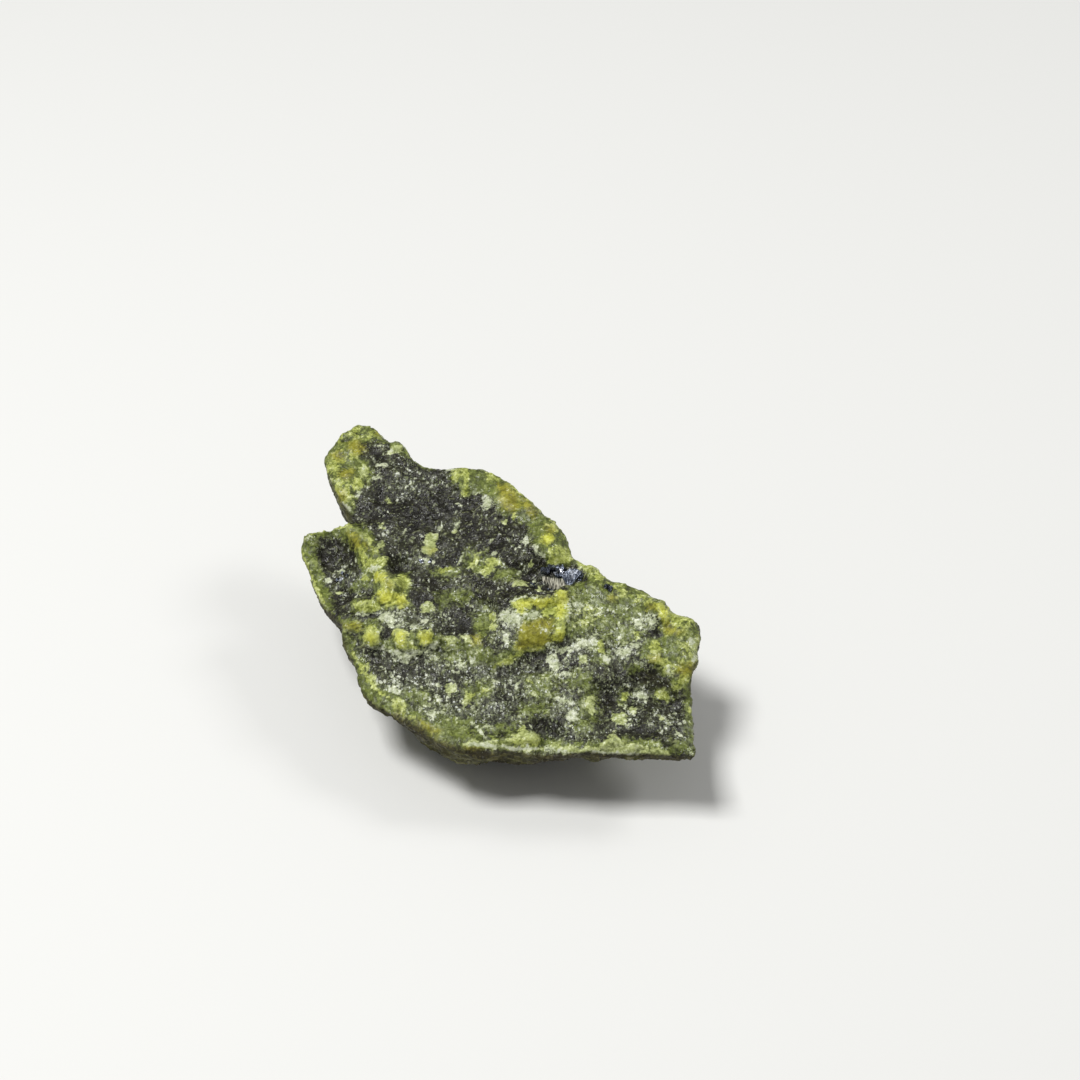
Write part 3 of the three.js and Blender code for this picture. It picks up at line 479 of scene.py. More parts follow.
# Pale growth: crushed white grains and fibres.
PALE_PATCHES = [
    [(-8.9, 1.5), (-8.5, 1.6), (-8.0, 1.6), (-8.05, 1.2), (-8.4, 1.0), (-8.9, 1.1)],
    [(-8.9, -4.95), (-8.3, -5.1), (-7.6, -5.1), (-7.2, -5.3), (-6.7, -5.4), (-6.3, -5.7), (-5.9, -5.8),
     (-5.2, -5.4), (-4.6, -5.1), (-4.2, -4.9), (-3.9, -5.1), (-4.5, -5.6), (-5.1, -5.95), (-5.9, -6.1),
     (-6.1, -6.7), (-6.5, -6.2), (-6.9, -5.8), (-7.3, -5.7), (-7.8, -5.4), (-8.6, -5.3)],
    [(-7.0, -3.15), (-6.5, -3.15), (-6.35, -3.5), (-6.9, -3.6)],
    [(-8.1, -2.3), (-7.5, -2.2), (-7.0, -2.6), (-6.8, -3.1), (-7.1, -3.5), (-7.6, -3.3), (-8.0, -2.8)],
    [(0.2, -2.5), (0.8, -2.3), (1.4, -2.7), (1.8, -3.2), (1.6, -3.6), (1.1, -3.85), (0.5, -3.6),
     (0.1, -3.0)],
    [(2.0, -2.6), (2.5, -2.4), (3.0, -2.6), (3.0, -3.1), (2.2, -3.2), (2.0, -3.0)],
    [(3.3, -5.2), (3.8, -5.1), (3.9, -5.6), (3.5, -5.75)],
    [(2.8, -3.9), (3.2, -3.8), (3.4, -4.0), (3.1, -4.2)],
    [(-1.0, 7.3), (-0.6, 7.35), (-0.35, 6.9), (-0.35, 6.4), (-0.7, 6.2), (-1.2, 6.2), (-1.05, 6.8)],
    [(2.4, 3.1), (2.8, 2.9), (3.2, 2.4), (3.4, 2.1), (3.0, 2.0), (2.6, 2.4)],
    [(5.3, 1.75), (5.9, 1.8), (6.4, 1.45), (5.9, 1.45), (5.4, 1.5)],
    [(-9.0, 9.3), (-8.7, 9.6), (-8.4, 9.5), (-8.4, 9.1), (-8.9, 9.1)],
    [(-11.2, 7.1), (-10.9, 7.0), (-10.3, 6.3), (-10.5, 6.0), (-10.9, 6.4)],
    [(9.2, -3.3), (9.8, -3.1), (10.1, -3.5), (10.0, -4.0), (9.4, -4.0)],
    [(10.2, -3.0), (10.9, -3.0), (11.0, -3.9), (10.5, -4.1), (10.2, -3.6)],
    [(11.5, -7.2), (11.9, -7.2), (11.95, -7.8), (11.6, -7.85)],
    [(9.1, -8.9), (9.5, -8.7), (9.9, -9.0), (10.1, -9.6), (9.8, -9.9), (9.3, -9.6)],
    [(3.3, -6.1), (3.9, -6.0), (4.2, -6.6), (4.25, -7.2), (3.9, -7.6), (3.6, -7.0), (3.3, -6.6)],
    [(3.05, -13.4), (3.4, -13.2), (4.0, -13.3), (4.0, -13.7), (3.3, -13.8)],
    [(-2.75, -6.55), (-2.2, -6.5), (-2.15, -7.0), (-2.5, -7.4), (-2.75, -7.0)],
    [(-7.3, -8.4), (-6.7, -8.3), (-6.5, -8.8), (-6.9, -9.1), (-7.2, -8.9)],
]
PALE_BANDS = [
    [(-7.0, -5.5, 0.14), (-6.2, -5.7, 0.2), (-5.4, -5.6, 0.18), (-4.6, -5.3, 0.18), (-4.0, -5.0, 0.14)],
    [(-6.3, -5.8, 0.14), (-6.1, -6.5, 0.08)],
    [(3.6, -5.3, 0.15), (4.2, -5.9, 0.25), (4.7, -5.5, 0.2)],
    [(4.6, -6.4, 0.1), (5.2, -5.6, 0.2)],
    [(-9.6, -2.4, 0.1), (-9.0, -2.6, 0.14), (-8.3, -2.4, 0.1)],
    [(-2.4, 2.4, 0.12), (-2.75, 1.8, 0.12), (-3.0, 1.3, 0.1)],
    [(0.95, -1.6, 0.08), (1.7, -1.3, 0.1), (2.8, -1.4, 0.08)],
    [(5.0, -1.5, 0.06), (5.0, -2.6, 0.09), (4.85, -3.6, 0.08)],
    [(-1.6, -11.4, 0.12), (-1.1, -11.8, 0.12), (-0.8, -12.4, 0.14)],
    [(4.0, -13.72, 0.1), (6.8, -13.78, 0.1), (9.3, -13.92, 0.12), (11.0, -14.15, 0.08)],
    [(-1.8, -12.9, 0.12), (-0.4, -13.1, 0.16), (1.2, -13.3, 0.14), (2.8, -13.4, 0.12)],
    [(-7.8, 12.7, 0.08), (-7.0, 12.0, 0.08), (-6.0, 11.1, 0.08)],
]
# Three of these spots, at (-8.6, 12.1), (-3.85, -8.35) and (-4.9, 1.8), are painted highlights where the
# stone glints; the rest are white grains.
PALE_SPOTS = [
    (-8.6, 12.1, 0.3, 0.12, 0), (-8.35, 10.3, 0.38, 0.22, 0), (-7.7, 11.5, 0.24, 0.22, 0),
    (-6.3, 8.6, 0.45, 0.06, 62), (-6.65, 8.2, 0.45, 0.06, 62), (-5.95, 8.3, 0.4, 0.07, 62),
    (-7.0, 7.9, 0.35, 0.05, 62), (-6.45, 9.5, 0.2, 0.08, 0), (-9.9, 7.8, 0.22, 0.18, 0),
    (-3.4, 9.75, 0.28, 0.15, 0), (-1.35, 7.7, 0.12, 0.22, -30), (-3.65, 8.4, 0.16, 0.14, 30),
    (-2.7, 6.7, 0.3, 0.1, -35), (-2.9, 5.0, 0.1, 0.4, -25), (-4.1, 4.65, 0.2, 0.3, 0),
    (-0.2, 5.4, 0.16, 0.12, 0), (1.9, 3.35, 0.22, 0.36, 0), (1.35, 2.75, 0.34, 0.08, 35),
    (1.45, 0.75, 0.22, 0.12, 45), (-0.4, 3.45, 0.3, 0.12, 0), (-0.3, 2.4, 0.14, 0.3, 0),
    (-3.1, 0.9, 0.28, 0.12, 0), (-13.3, 4.1, 0.36, 0.22, 30), (-9.9, 2.1, 0.14, 0.2, 0),
    (-6.55, 4.4, 0.1, 0.3, 0), (-9.85, -1.0, 0.2, 0.12, 0), (-11.8, 0.4, 0.14, 0.34, 0),
    (-7.5, -2.5, 0.5, 0.3, 0), (-6.7, -2.6, 0.32, 0.22, 0), (-5.0, -3.2, 0.3, 0.14, 0),
    (-5.6, -3.6, 0.4, 0.14, 10), (-2.55, -7.4, 0.2, 0.14, 0), (-1.7, -6.5, 0.18, 0.25, 0),
    (2.5, -0.25, 0.18, 0.28, 0), (0.65, -4.6, 0.38, 0.46, 0), (5.55, -2.1, 0.34, 0.28, 0),
    (6.4, -2.1, 0.12, 0.3, 0), (6.75, -2.85, 0.34, 0.08, 35), (6.0, -5.3, 0.85, 0.4, 5),
    (6.55, -4.6, 0.28, 0.36, 0), (10.5, -4.1, 0.4, 0.12, 0), (9.35, -5.45, 0.38, 0.26, 0),
    (7.35, -6.4, 0.4, 0.36, 0), (8.6, -6.0, 0.6, 0.35, 0), (13.2, -5.2, 0.28, 0.3, 0),
    (13.35, -6.65, 0.26, 0.22, 0), (-7.0, -6.2, 0.4, 0.12, 0), (-7.75, -6.85, 0.34, 0.09, 0),
    (-7.0, -7.6, 0.34, 0.1, -35), (-3.85, -8.35, 0.28, 0.12, -35), (-4.45, -8.65, 0.26, 0.16, -25),
    (-3.95, -9.25, 0.34, 0.09, -60), (-4.25, -10.4, 0.36, 0.22, 0), (-1.65, -10.2, 0.3, 0.09, 60),
    (-2.4, -10.5, 0.18, 0.15, 0), (-0.5, -11.6, 0.3, 0.1, 5), (1.45, -8.4, 0.6, 0.16, 70),
    (2.3, -11.6, 0.4, 0.08, -65), (4.5, -9.7, 0.7, 0.3, -15), (5.0, -10.9, 0.4, 0.4, 0),
    (4.6, -7.6, 0.4, 0.22, 10), (7.45, -8.15, 0.5, 0.14, 20), (7.1, -8.6, 0.3, 0.09, 20),
    (10.05, -9.7, 0.12, 0.4, 0), (8.2, -10.5, 0.16, 0.15, 0), (8.6, -10.4, 0.09, 0.38, 0),
    (8.8, -11.65, 0.34, 0.13, 0), (11.4, -11.6, 0.24, 0.24, 0), (12.1, -12.5, 0.34, 0.16, -40),
    (-4.9, 1.8, 0.45, 0.28, -20), (-11.0, 1.2, 0.4, 0.18, 35),
]

# Dark hollows and bare spots of the ground stone.
DARK_SPOTS = [
    (-10.9, 12.6, 0.34, 0.34, 0), (-10.15, 13.65, 0.12, 0.12, 0), (-9.1, -0.5, 0.7, 0.35, 0),
    (-8.05, 0.0, 0.14, 0.12, 0), (-8.7, -0.8, 0.55, 0.25, 0), (-7.05, 1.15, 0.55, 0.28, 0),
    (-10.9, -2.45, 0.3, 0.28, 0), (-5.35, -2.55, 0.2, 0.2, 0), (-2.4, -3.3, 1.1, 1.1, 0),
    (-0.35, -1.75, 0.95, 0.15, 5), (-2.6, -1.7, 0.45, 0.18, 0), (2.5, 0.5, 0.6, 0.42, 0),
    (3.75, -0.6, 0.66, 0.28, -12), (2.7, -1.9, 0.2, 0.22, 0), (1.4, -0.95, 0.7, 0.22, 0),
    (5.6, -1.1, 0.55, 0.6, 0), (7.5, -0.65, 0.34, 0.28, 0), (6.7, -0.6, 0.13, 0.12, 0),
    (9.2, -6.2, 0.4, 0.28, 0), (10.65, -4.75, 0.85, 0.26, 0), (11.55, -5.6, 0.48, 0.32, 0),
    (11.75, -6.4, 0.32, 0.28, 0), (5.3, -6.85, 0.3, 0.28, 0), (-7.4, -4.4, 0.3, 0.45, 0),
    (4.1, -10.7, 0.12, 0.1, 0), (3.3, -11.9, 0.72, 0.88, 0), (0.3, -12.3, 0.7, 0.48, 0),
    (0.2, -10.5, 0.7, 0.4, 0), (5.2, -12.6, 0.7, 0.36, 0), (7.3, -9.9, 0.8, 1.3, 0),
    (8.5, -8.6, 0.5, 0.4, 0), (9.6, -7.8, 0.8, 0.5, 0), (10.6, -7.5, 0.6, 0.4, -10),
    (10.4, -12.5, 1.8, 0.6, 0), (11.7, -10.6, 1.0, 0.7, 0), (10.1, -10.7, 0.7, 0.6, 0),
    (-9.4, -4.8, 0.5, 0.3, -30), (1.2, -7.4, 1.1, 0.4, 10), (-2.6, -9.9, 0.6, 0.5, 0),
    (-2.2, 6.3, 0.5, 1.6, 0), (-4.2, 6.3, 0.9, 0.9, 0), (-8.2, 8.2, 0.8, 0.9, 0),
    (-8.9, 11.3, 0.5, 0.4, 0), (-5.4, 6.4, 2.0, 1.6, -30), (0.3, 3.6, 0.8, 0.7, 0),
    (3.4, -13.55, 0.8, 0.12, 0), (9.8, -13.65, 1.0, 0.1, -8),
]

# Parts of the ground stone where the pale flecks and the painted white glints lie thickest.
FROST_FIELDS = [
    (6.4, -5.5, 3.2, 1.5, 8), (4.6, -9.9, 1.6, 1.4, -15), (2.6, -8.6, 1.9, 1.5, 0),
    (-3.5, -6.0, 2.6, 1.3, -10), (9.4, -9.2, 0.9, 0.9, 0), (-7.3, -3.0, 1.6, 0.9, 0),
    (0.8, -4.5, 1.0, 1.1, 0), (-1.0, -7.3, 2.2, 1.0, 0), (8.6, -6.2, 1.6, 0.9, 0),
    (12.3, -12.4, 0.8, 0.9, 0), (-3.6, -10.4, 2.2, 1.0, 0), (8.0, -8.4, 1.4, 0.7, 10),
    (-0.9, -2.4, 0.9, 0.7, 0), (-6.5, 8.4, 1.2, 0.9, 0), (-5.5, 1.9, 0.9, 0.6, 0),
    (5.0, -7.0, 1.6, 0.9, 0), (-0.4, -10.4, 2.2, 1.0, 0), (9.8, -3.3, 1.1, 0.8, 0),
    (-5.6, -8.4, 1.8, 1.0, 0), (-6.3, -5.8, 1.6, 0.6, 0), (1.2, -3.2, 0.9, 0.7, 0),
    (8.6, -11.3, 0.8, 0.6, 0), (5.0, -12.2, 1.6, 0.7, 0), (7.6, -4.4, 2.0, 0.9, 0),
    (8.0, -2.7, 2.4, 1.0, -15), (5.9, -2.8, 1.2, 1.0, 0), (11.2, -11.4, 1.2, 0.8, 0),
    (-7.0, -5.2, 2.4, 0.7, 0), (12.0, -5.6, 1.0, 1.0, 0), (-4.6, -2.9, 1.4, 0.8, 0),
    (-9.2, 0.2, 0.9, 0.7, 0),
]

# The shapes that make up each growth, how soft their edges are, and how strongly they show.
GROWTHS = {
    "olive": [
        (patch_mask, OLIVE_PATCHES, 0.7, 1.0),
        (band_mask, OLIVE_BANDS, 1.6, 1.0),
        (spot_mask, OLIVE_FIELDS, 1.5, 0.85),
    ],
    "lime": [
        (patch_mask, LIME_PATCHES, 0.55, 1.0),
        (patch_mask, MILKY_PATCHES, 0.5, 1.0),
        (band_mask, LIME_BANDS, 0.9, 1.0),
        (spot_mask, LIME_SPOTS, 0.9, 1.0),
        (spot_mask, LIME_FIELDS, 1.5, 0.52),
    ],
    "milky": [(patch_mask, MILKY_PATCHES, 0.5, 1.0)],
    "yellow": [(patch_mask, YELLOW_PATCHES, 0.7, 1.0)],
    "amber": [(patch_mask, AMBER_PATCHES, 0.8, 1.0)],
    "pale": [
        (patch_mask, PALE_PATCHES, 0.5, 1.0),
        (band_mask, PALE_BANDS, 0.8, 1.0),
        (spot_mask, PALE_SPOTS, 1.0, 1.0),
    ],
    "dark": [(spot_mask, DARK_SPOTS, 1.6, 1.0)],
    "frost": [(spot_mask, FROST_FIELDS, 1.7, 1.0)],
}

# The share by which the olive and the lime thin out in the dark spots.
BARE_SHARE = 0.65

# How far some growths stand proud of the ground stone, in millimetres.
GROWTH_RISES = {"lime": 0.03, "yellow": 0.02, "pale": 0.02}

# Ridges stand above the main face and dark hollows lie below it, by these millimetres, and the waxy
# growths broke smoother than the ground, by this share. An edge says how softly each one ends.
RIDGE_RISE = 0.22
RIDGE_EDGE = 1.3
HOLLOW_DROP = 0.05
HOLLOW_EDGE = 1.6
WAXY_SMOOTHNESS = 0.5
WAXY_EDGE = 0.6
WAXY_PATCHES = OLIVE_PATCHES + LIME_PATCHES + MILKY_PATCHES
RIDGES = [
    [(-10.3, 4.5, 0.5), (-9.5, 3.6, 0.7), (-9.0, 2.6, 0.7), (-8.5, 1.7, 0.7), (-7.9, 0.5, 0.6),
     (-7.2, -0.6, 0.7), (-6.8, -1.5, 0.6)],
    [(-7.3, -1.2, 0.5), (-8.3, -1.7, 0.5), (-9.2, -1.9, 0.45), (-9.8, -1.9, 0.3)],
    [(1.3, -2.0, 0.4), (2.4, -1.9, 0.4), (4.3, -1.5, 0.5), (4.5, -3.0, 0.5), (4.0, -4.2, 0.4)],
    [(-5.1, -4.2, 0.4), (-4.7, -4.8, 0.4)],
    [(-8.5, -4.0, 0.4), (-8.4, -4.8, 0.4)],
    [(-6.6, -4.2, 0.4), (-6.1, -5.3, 0.35)],
    [(10.6, -6.4, 0.4), (11.6, -7.4, 0.35)],
    [(11.1, -2.4, 0.35), (11.4, -3.4, 0.3)],
    [(0.8, -12.7, 0.4), (2.0, -12.5, 0.5), (2.7, -12.8, 0.3)],
    [(7.2, -13.1, 0.3), (8.0, -12.9, 0.3), (9.2, -13.4, 0.25)],
]

ridge = growth_mask(0.0, band_mask, RIDGES, RIDGE_EDGE) * facing_up
hollow = growth_mask(0.0, spot_mask, DARK_SPOTS, HOLLOW_EDGE) * facing_up
waxy = growth_mask(0.0, patch_mask, WAXY_PATCHES, WAXY_EDGE) * facing_up
fine_relief = CHIP_RELIEF * chips + CRUMB_RELIEF * crumbs + ROUGH_RELIEF * soft_noise(at, ROUGH_WIDTH, 5)
relief = fine_relief * (1.0 - WAXY_SMOOTHNESS * waxy) + SLAB_RELIEF * slabs
relief = relief + RIDGE_RISE * smooth_step(0.0, 1.0, ridge) - HOLLOW_DROP * smooth_step(0.3, 0.8, hollow)
relief_at = at + outward * relief[:, None]

# The dark crystals and fibres near the upper edge sit in a shallow socket: an oval like a spot, how
# soft its edge is, how deep it lies under the main face, and the height down to which it cuts.
SOCKET = (4.6, 0.35, 1.7, 1.1, 0)
SOCKET_EDGE = 0.7
SOCKET_DEPTH = 0.25
SOCKET_FLOOR = 6.0
in_socket = smooth_step(0.1, 0.9, spot_mask(at[:, 0], at[:, 1], [SOCKET], SOCKET_EDGE))
in_socket = in_socket * (at[:, 2] > SOCKET_FLOOR)
relief_at[:, 2] -= in_socket * np.maximum(above_face(relief_at) + SOCKET_DEPTH, 0.0)
relief_at[:, 2] = np.maximum(relief_at[:, 2], 0.0)

shown = {}
moved = relief_at - at
for kind, layers in GROWTHS.items():
    masks = [strength * growth_mask(moved, *layer) for *layer, strength in layers]
    shown[kind] = np.maximum.reduce(masks)
bare = smooth_step(0.6, 1.0, shown["dark"])
for kind in ("olive", "lime"):
    shown[kind] *= 1.0 - BARE_SHARE * bare

# Underneath, the same growths lie in bands and lumps of their own.
drift = soft_noise(at, 3.2, 11) + 0.5 * soft_noise(at, 1.3, 12)
clumps = soft_noise(at, 0.8, 13) + 0.5 * soft_noise(at, 0.35, 14)
beneath = {
    "olive": smooth_step(-0.15, 0.25, drift + 0.3 * clumps),
    "lime": smooth_step(0.25, 0.55, drift + 0.6 * clumps),
    "milky": 0.0,
    "yellow": smooth_step(0.62, 0.9, drift + 0.5 * clumps),
    "amber": smooth_step(0.3, 0.6, soft_noise(at, 1.1, 15) + 0.4 * drift),
    "pale": smooth_step(0.5, 0.8, soft_noise(at, 0.7, 16) + 0.3 * clumps),
    "dark": smooth_step(0.2, 0.6, -drift + 0.3 * clumps),
    "frost": smooth_step(-0.1, 0.5, soft_noise(at, 2.0, 17)),
}
for kind in shown:
    shown[kind] = shown[kind] * facing_up + (1.0 - facing_up) * beneath[kind]

rise = sum(height * smooth_step(0.3, 0.7, shown[kind]) for kind, height in GROWTH_RISES.items())
relief_at = relief_at + outward * rise[:, None]
relief_at[:, 2] = np.maximum(relief_at[:, 2], 0.0)
stone.data.vertices.foreach_set("co", (relief_at * MM).ravel())
stone.data.update()
fine_outward = vertex_array(stone.data, "normal")

# Thin crests and rims get a painted highlight, as if light shone through them, and crevices get
# painted shade; rims are the broadest of the crests. They come from the finished shape: how far a
# point stands above the mean of its neighbours, with the rounds of averaging and the height in
# millimetres that counts as full.
CREST_ROUNDS = 2
CREST_HEIGHT = 0.03
RIM_ROUNDS = 30
RIM_HEIGHT = 0.25

# The sides get a brown that is partly the stone's own weathered skin and partly painted shade:
# steep sides, those in front most of all, and the old wall below the front rim.
# The wall's patch runs from the line of the rim out past the foot of the stone.
WALL_EDGE = 0.5
WALL_PATCH = [
    (-6.6, -10.2), (-5.8, -10.9), (-5.0, -11.6), (-4.3, -12.2), (-3.4, -12.7), (-2.3, -13.2),
    (-1.0, -13.5), (1.0, -13.75), (3.0, -13.9), (5.0, -14.0), (7.0, -14.0), (9.5, -14.2), (11.8, -14.45),
    (13.6, -14.6), (13.6, -30.0), (-9.0, -30.0), (-9.0, -12.0),
]


def standing_out(rounds, full_height):
    """How far each point stands above its surroundings, 1 at the full height."""
    surroundings = neighbour_mean(stone.data, relief_at, rounds)
    return np.einsum("ij,ij->i", relief_at - surroundings, fine_outward) / full_height


def paint(mesh, name, values):
    """Keeps one value from 0 to 1 at each point of the mesh, for the stone's finish to read."""
    layer = mesh.attributes.new(name, "FLOAT", "POINT")
    layer.data.foreach_set("value", np.clip(values, 0.0, 1.0).astype(np.float32))


front = smooth_step(0.1, 0.7, -broad_outward[:, 1])
side = (1.0 - smooth_step(0.15, 0.55, broad_outward[:, 2])) * (0.5 + 0.5 * front)
wall = growth_mask(moved, patch_mask, [WALL_PATCH], WALL_EDGE)
wall = wall * smooth_step(-0.95, -0.6, broad_outward[:, 2])

for kind, share in shown.items():
    paint(stone.data, kind, share)
paint(stone.data, "crest", 0.5 + 0.5 * standing_out(CREST_ROUNDS, CREST_HEIGHT))
paint(stone.data, "rim", standing_out(RIM_ROUNDS, RIM_HEIGHT))
paint(stone.data, "side", np.maximum(side, wall))
stone.data.polygons.foreach_set("use_smooth", [True] * len(stone.data.polygons))


def tone(red, green, blue):
    """A linear colour from the usual 0 to 255 values."""
    shares = [value / 255 for value in (red, green, blue)]
    linear = [s / 12.92 if s < 0.04045 else ((s + 0.055) / 1.055) ** 2.4 for s in shares]
    return (*linear, 1.0)


class Finish:
    """A material under construction: short ways to add and join its nodes."""

    def __init__(self, name):
        self.material = bpy.data.materials.new(name)
        self.material.use_nodes = True
        self.tree = self.material.node_tree
        self.shader = self.tree.nodes["Principled BSDF"]
        self.place = self.tree.nodes.new("ShaderNodeTexCoord").outputs["Object"]

    def join(self, source, socket):
        """Links a node's output to the socket, or sets the socket to a plain value."""
        if isinstance(source, bpy.types.NodeSocket):
            self.tree.links.new(source, socket)
        else:
            socket.default_value = source

    def painted(self, name):
        """The value that was painted on the stone's points."""
        node = self.tree.nodes.new("ShaderNodeAttribute")
        node.attribute_name = name
        return node.outputs["Fac"]

    def scaled(self, per_mm, shift=0.0, stretch=(1.0, 1.0, 1.0), turn=0.0):
        """The place on the piece, counted in units of which `per_mm` fit in a millimetre."""
        node = self.tree.nodes.new("ShaderNodeMapping")
        node.inputs["Location"].default_value = (shift, shift, shift)
        node.inputs["Rotation"].default_value = (0.0, 0.0, turn)
        node.inputs["Scale"].default_value = [per_mm / MM * s for s in stretch]
        self.join(self.place, node.inputs["Vector"])
        return node.outputs["Vector"]

    def clouding(self, place, scale, detail, roughness):
        node = self.tree.nodes.new("ShaderNodeTexNoise")
        node.inputs["Scale"].default_value = scale
        node.inputs["Detail"].default_value = detail
        node.inputs["Roughness"].default_value = roughness
        self.join(place, node.inputs["Vector"])
        return node

    def cloud(self, per_mm, detail=3.0, roughness=0.5, **spread):
        """A soft irregular pattern around 0.5."""
        return self.clouding(self.scaled(per_mm, **spread), 1.0, detail, roughness).outputs["Fac"]

    def grains(self, per_mm, bent, **spread):
        """Crystal grains with bent edges: how far off each one's middle a place is, the grain's own
        random value, and the height of its tilted flat face."""
        place = self.scaled(per_mm, **spread)
        swirl = self.clouding(place, 1.3, 2.0, 0.5).outputs["Color"]
        place = self.vector("ADD", place, self.vector("MULTIPLY", swirl, (bent, bent, bent)))
        node = self.tree.nodes.new("ShaderNodeTexVoronoi")
        node.inputs["Scale"].default_value = 1.0
        self.join(place, node.inputs["Vector"])
        split = self.tree.nodes.new("ShaderNodeSeparateColor")
        self.join(node.outputs["Color"], split.inputs["Color"])
        from_middle = self.vector("SUBTRACT", place, node.outputs["Position"])
        lean = self.vector("SUBTRACT", node.outputs["Color"], (0.5, 0.5, 0.5))
        tilt = self.vector("DOT_PRODUCT", from_middle, lean, "Value")
        return SimpleNamespace(off=node.outputs["Distance"], value=split.outputs["Red"], tilt=tilt)

    def vector(self, kind, a, b, result="Vector"):
        node = self.tree.nodes.new("ShaderNodeVectorMath")
        node.operation = kind
        self.join(a, node.inputs[0])
        self.join(b, node.inputs[1])
        return node.outputs[result]

    def math(self, kind, a, b):
        node = self.tree.nodes.new("ShaderNodeMath")
        node.operation = kind
        self.join(a, node.inputs[0])
        self.join(b, node.inputs[1])
        return node.outputs["Value"]

    def add(self, a, b):
        return self.math("ADD", a, b)

    def times(self, a, b):
        return self.math("MULTIPLY", a, b)

    def varied(self, value, *swings):
        """The value, swung up and down by patterns around 0.5: (pattern, strength)."""
        for pattern, strength in swings:
            value = self.add(value, self.times(self.add(pattern, -0.5), strength))
        return value

    def raised(self, value, *lifts):
        """The value, raised or lowered where the painted shares lie: (share, lift)."""
        for share, lift in lifts:
            value = self.add(value, self.times(share, lift))
        return value

    def step(self, value, low, high, to_low=0.0, to_high=1.0):
        """A soft rise from `to_low` at `low` to `to_high` at `high`."""
        node = self.tree.nodes.new("ShaderNodeMapRange")
        node.interpolation_type = "SMOOTHSTEP"
        self.join(value, node.inputs["Value"])
        self.join(low, node.inputs["From Min"])
        self.join(high, node.inputs["From Max"])
        self.join(to_low, node.inputs["To Min"])
        self.join(to_high, node.inputs["To Max"])
        return node.outputs["Result"]

    def blend(self, share, below, above, strength=1.0):
        """Lays one colour over another, as far as the share and its strength say."""
        node = self.tree.nodes.new("ShaderNodeMix")
        node.data_type = "RGBA"
        self.join(self.times(share, strength), node.inputs["Factor"])
        self.join(below, node.inputs["A"])
        self.join(above, node.inputs["B"])
        return node.outputs["Result"]

    def ramp(self, value, tones):
        """Turns a value into a colour along a row of tones."""
        node = self.tree.nodes.new("ShaderNodeValToRGB")
        stops = node.color_ramp.elements
        while len(stops) < len(tones):
            stops.new(0.5)
        for stop, (place, shade) in zip(stops, tones):
            stop.position = place
            stop.color = tone(*shade)
        self.join(value, node.inputs["Fac"])
        return node.outputs["Color"]

    def bump(self, height, depth_mm, strength=1.0, under=None):
        """Relief that is felt by the light alone, laid over the relief `under` it."""
        node = self.tree.nodes.new("ShaderNodeBump")
        node.inputs["Strength"].default_value = strength
        node.inputs["Distance"].default_value = depth_mm * MM
        self.join(height, node.inputs["Height"])
        if under is not None:
            self.join(under, node.inputs["Normal"])
        return node.outputs["Normal"]


# The tones of each kind of stone, from its darkest to its lightest parts: the value at which each
# tone is reached, and its red, green and blue.
GROUND_TONES = [
    (0.26, (20, 18, 11)), (0.40, (36, 35, 23)), (0.50, (53, 54, 36)), (0.60, (75, 78, 53)),
    (0.72, (101, 106, 77)), (0.86, (132, 137, 108)),
]
FLECK_TONES = [
    (0.0, (84, 91, 62)), (0.35, (118, 126, 90)), (0.65, (160, 167, 132)), (1.0, (222, 225, 210)),
]
OLIVE_TONES = [
    (0.22, (54, 58, 22)), (0.38, (86, 95, 40)), (0.50, (110, 121, 54)), (0.62, (134, 145, 76)),
    (0.76, (158, 167, 102)), (0.92, (196, 202, 152)),
]
LIME_TONES = [
    (0.22, (96, 103, 38)), (0.38, (132, 141, 60)), (0.50, (160, 169, 80)), (0.62, (184, 192, 106)),
    (0.76, (212, 218, 148)), (0.92, (232, 235, 196)),
]
PALE_LIME_TONES = [
    (0.22, (104, 112, 62)), (0.38, (140, 149, 88)), (0.50, (168, 177, 112)), (0.62, (190, 198, 138)),
    (0.76, (212, 218, 172)), (0.92, (232, 235, 208)),
]
YELLOW_TONES = [
    (0.22, (146, 144, 36)), (0.40, (180, 181, 56)), (0.55, (204, 207, 82)), (0.72, (220, 223, 120)),
    (0.90, (228, 230, 164)),
]
AMBER_TONES = [
    (0.22, (92, 86, 18)), (0.42, (130, 126, 32)), (0.60, (160, 156, 52)), (0.85, (190, 188, 98)),
]
PALE_TONES = [
    (0.22, (134, 142, 102)), (0.42, (176, 184, 142)), (0.60, (207, 212, 182)), (0.85, (236, 238, 228)),
]

# Tones laid over them: crushed grains, painted white glints, the painted highlight on thin crests,
# the painted shade in crevices, the painted highlight on thin rims, and the dark and light parts of
# the brown on the sides, partly the old weathered skin and partly painted shade.
VEIL_TONE = tone(166, 172, 148)
PAINTED_GLINT_TONE = tone(225, 230, 222)
PAINTED_CREST_LIGHT_TONE = tone(190, 197, 140)
PAINTED_CREVICE_SHADE_TONE = tone(26, 25, 11)
PAINTED_RIM_LIGHT_TONE = tone(168, 176, 100)
SIDE_SKIN_AND_SHADE_DARK = tone(46, 41, 19)
SIDE_SKIN_AND_SHADE_LIGHT = tone(88, 80, 34)

# How many of each kind of crystal grain lie along a millimetre, how steeply the flat faces of the
# crumbs and grains tilt, and how far the splinters and streaks are turned.
CRUMBS_PER_MM = 2.1
SPLINTERS_PER_MM = 2.6
GRAINS_PER_MM = 3.3
SPECKS_PER_MM = 6.0
DUST_PER_MM = 8.5
CRUMB_TILT = 0.40
GRAIN_TILT = 0.45
STREAK_TURN = 0.6


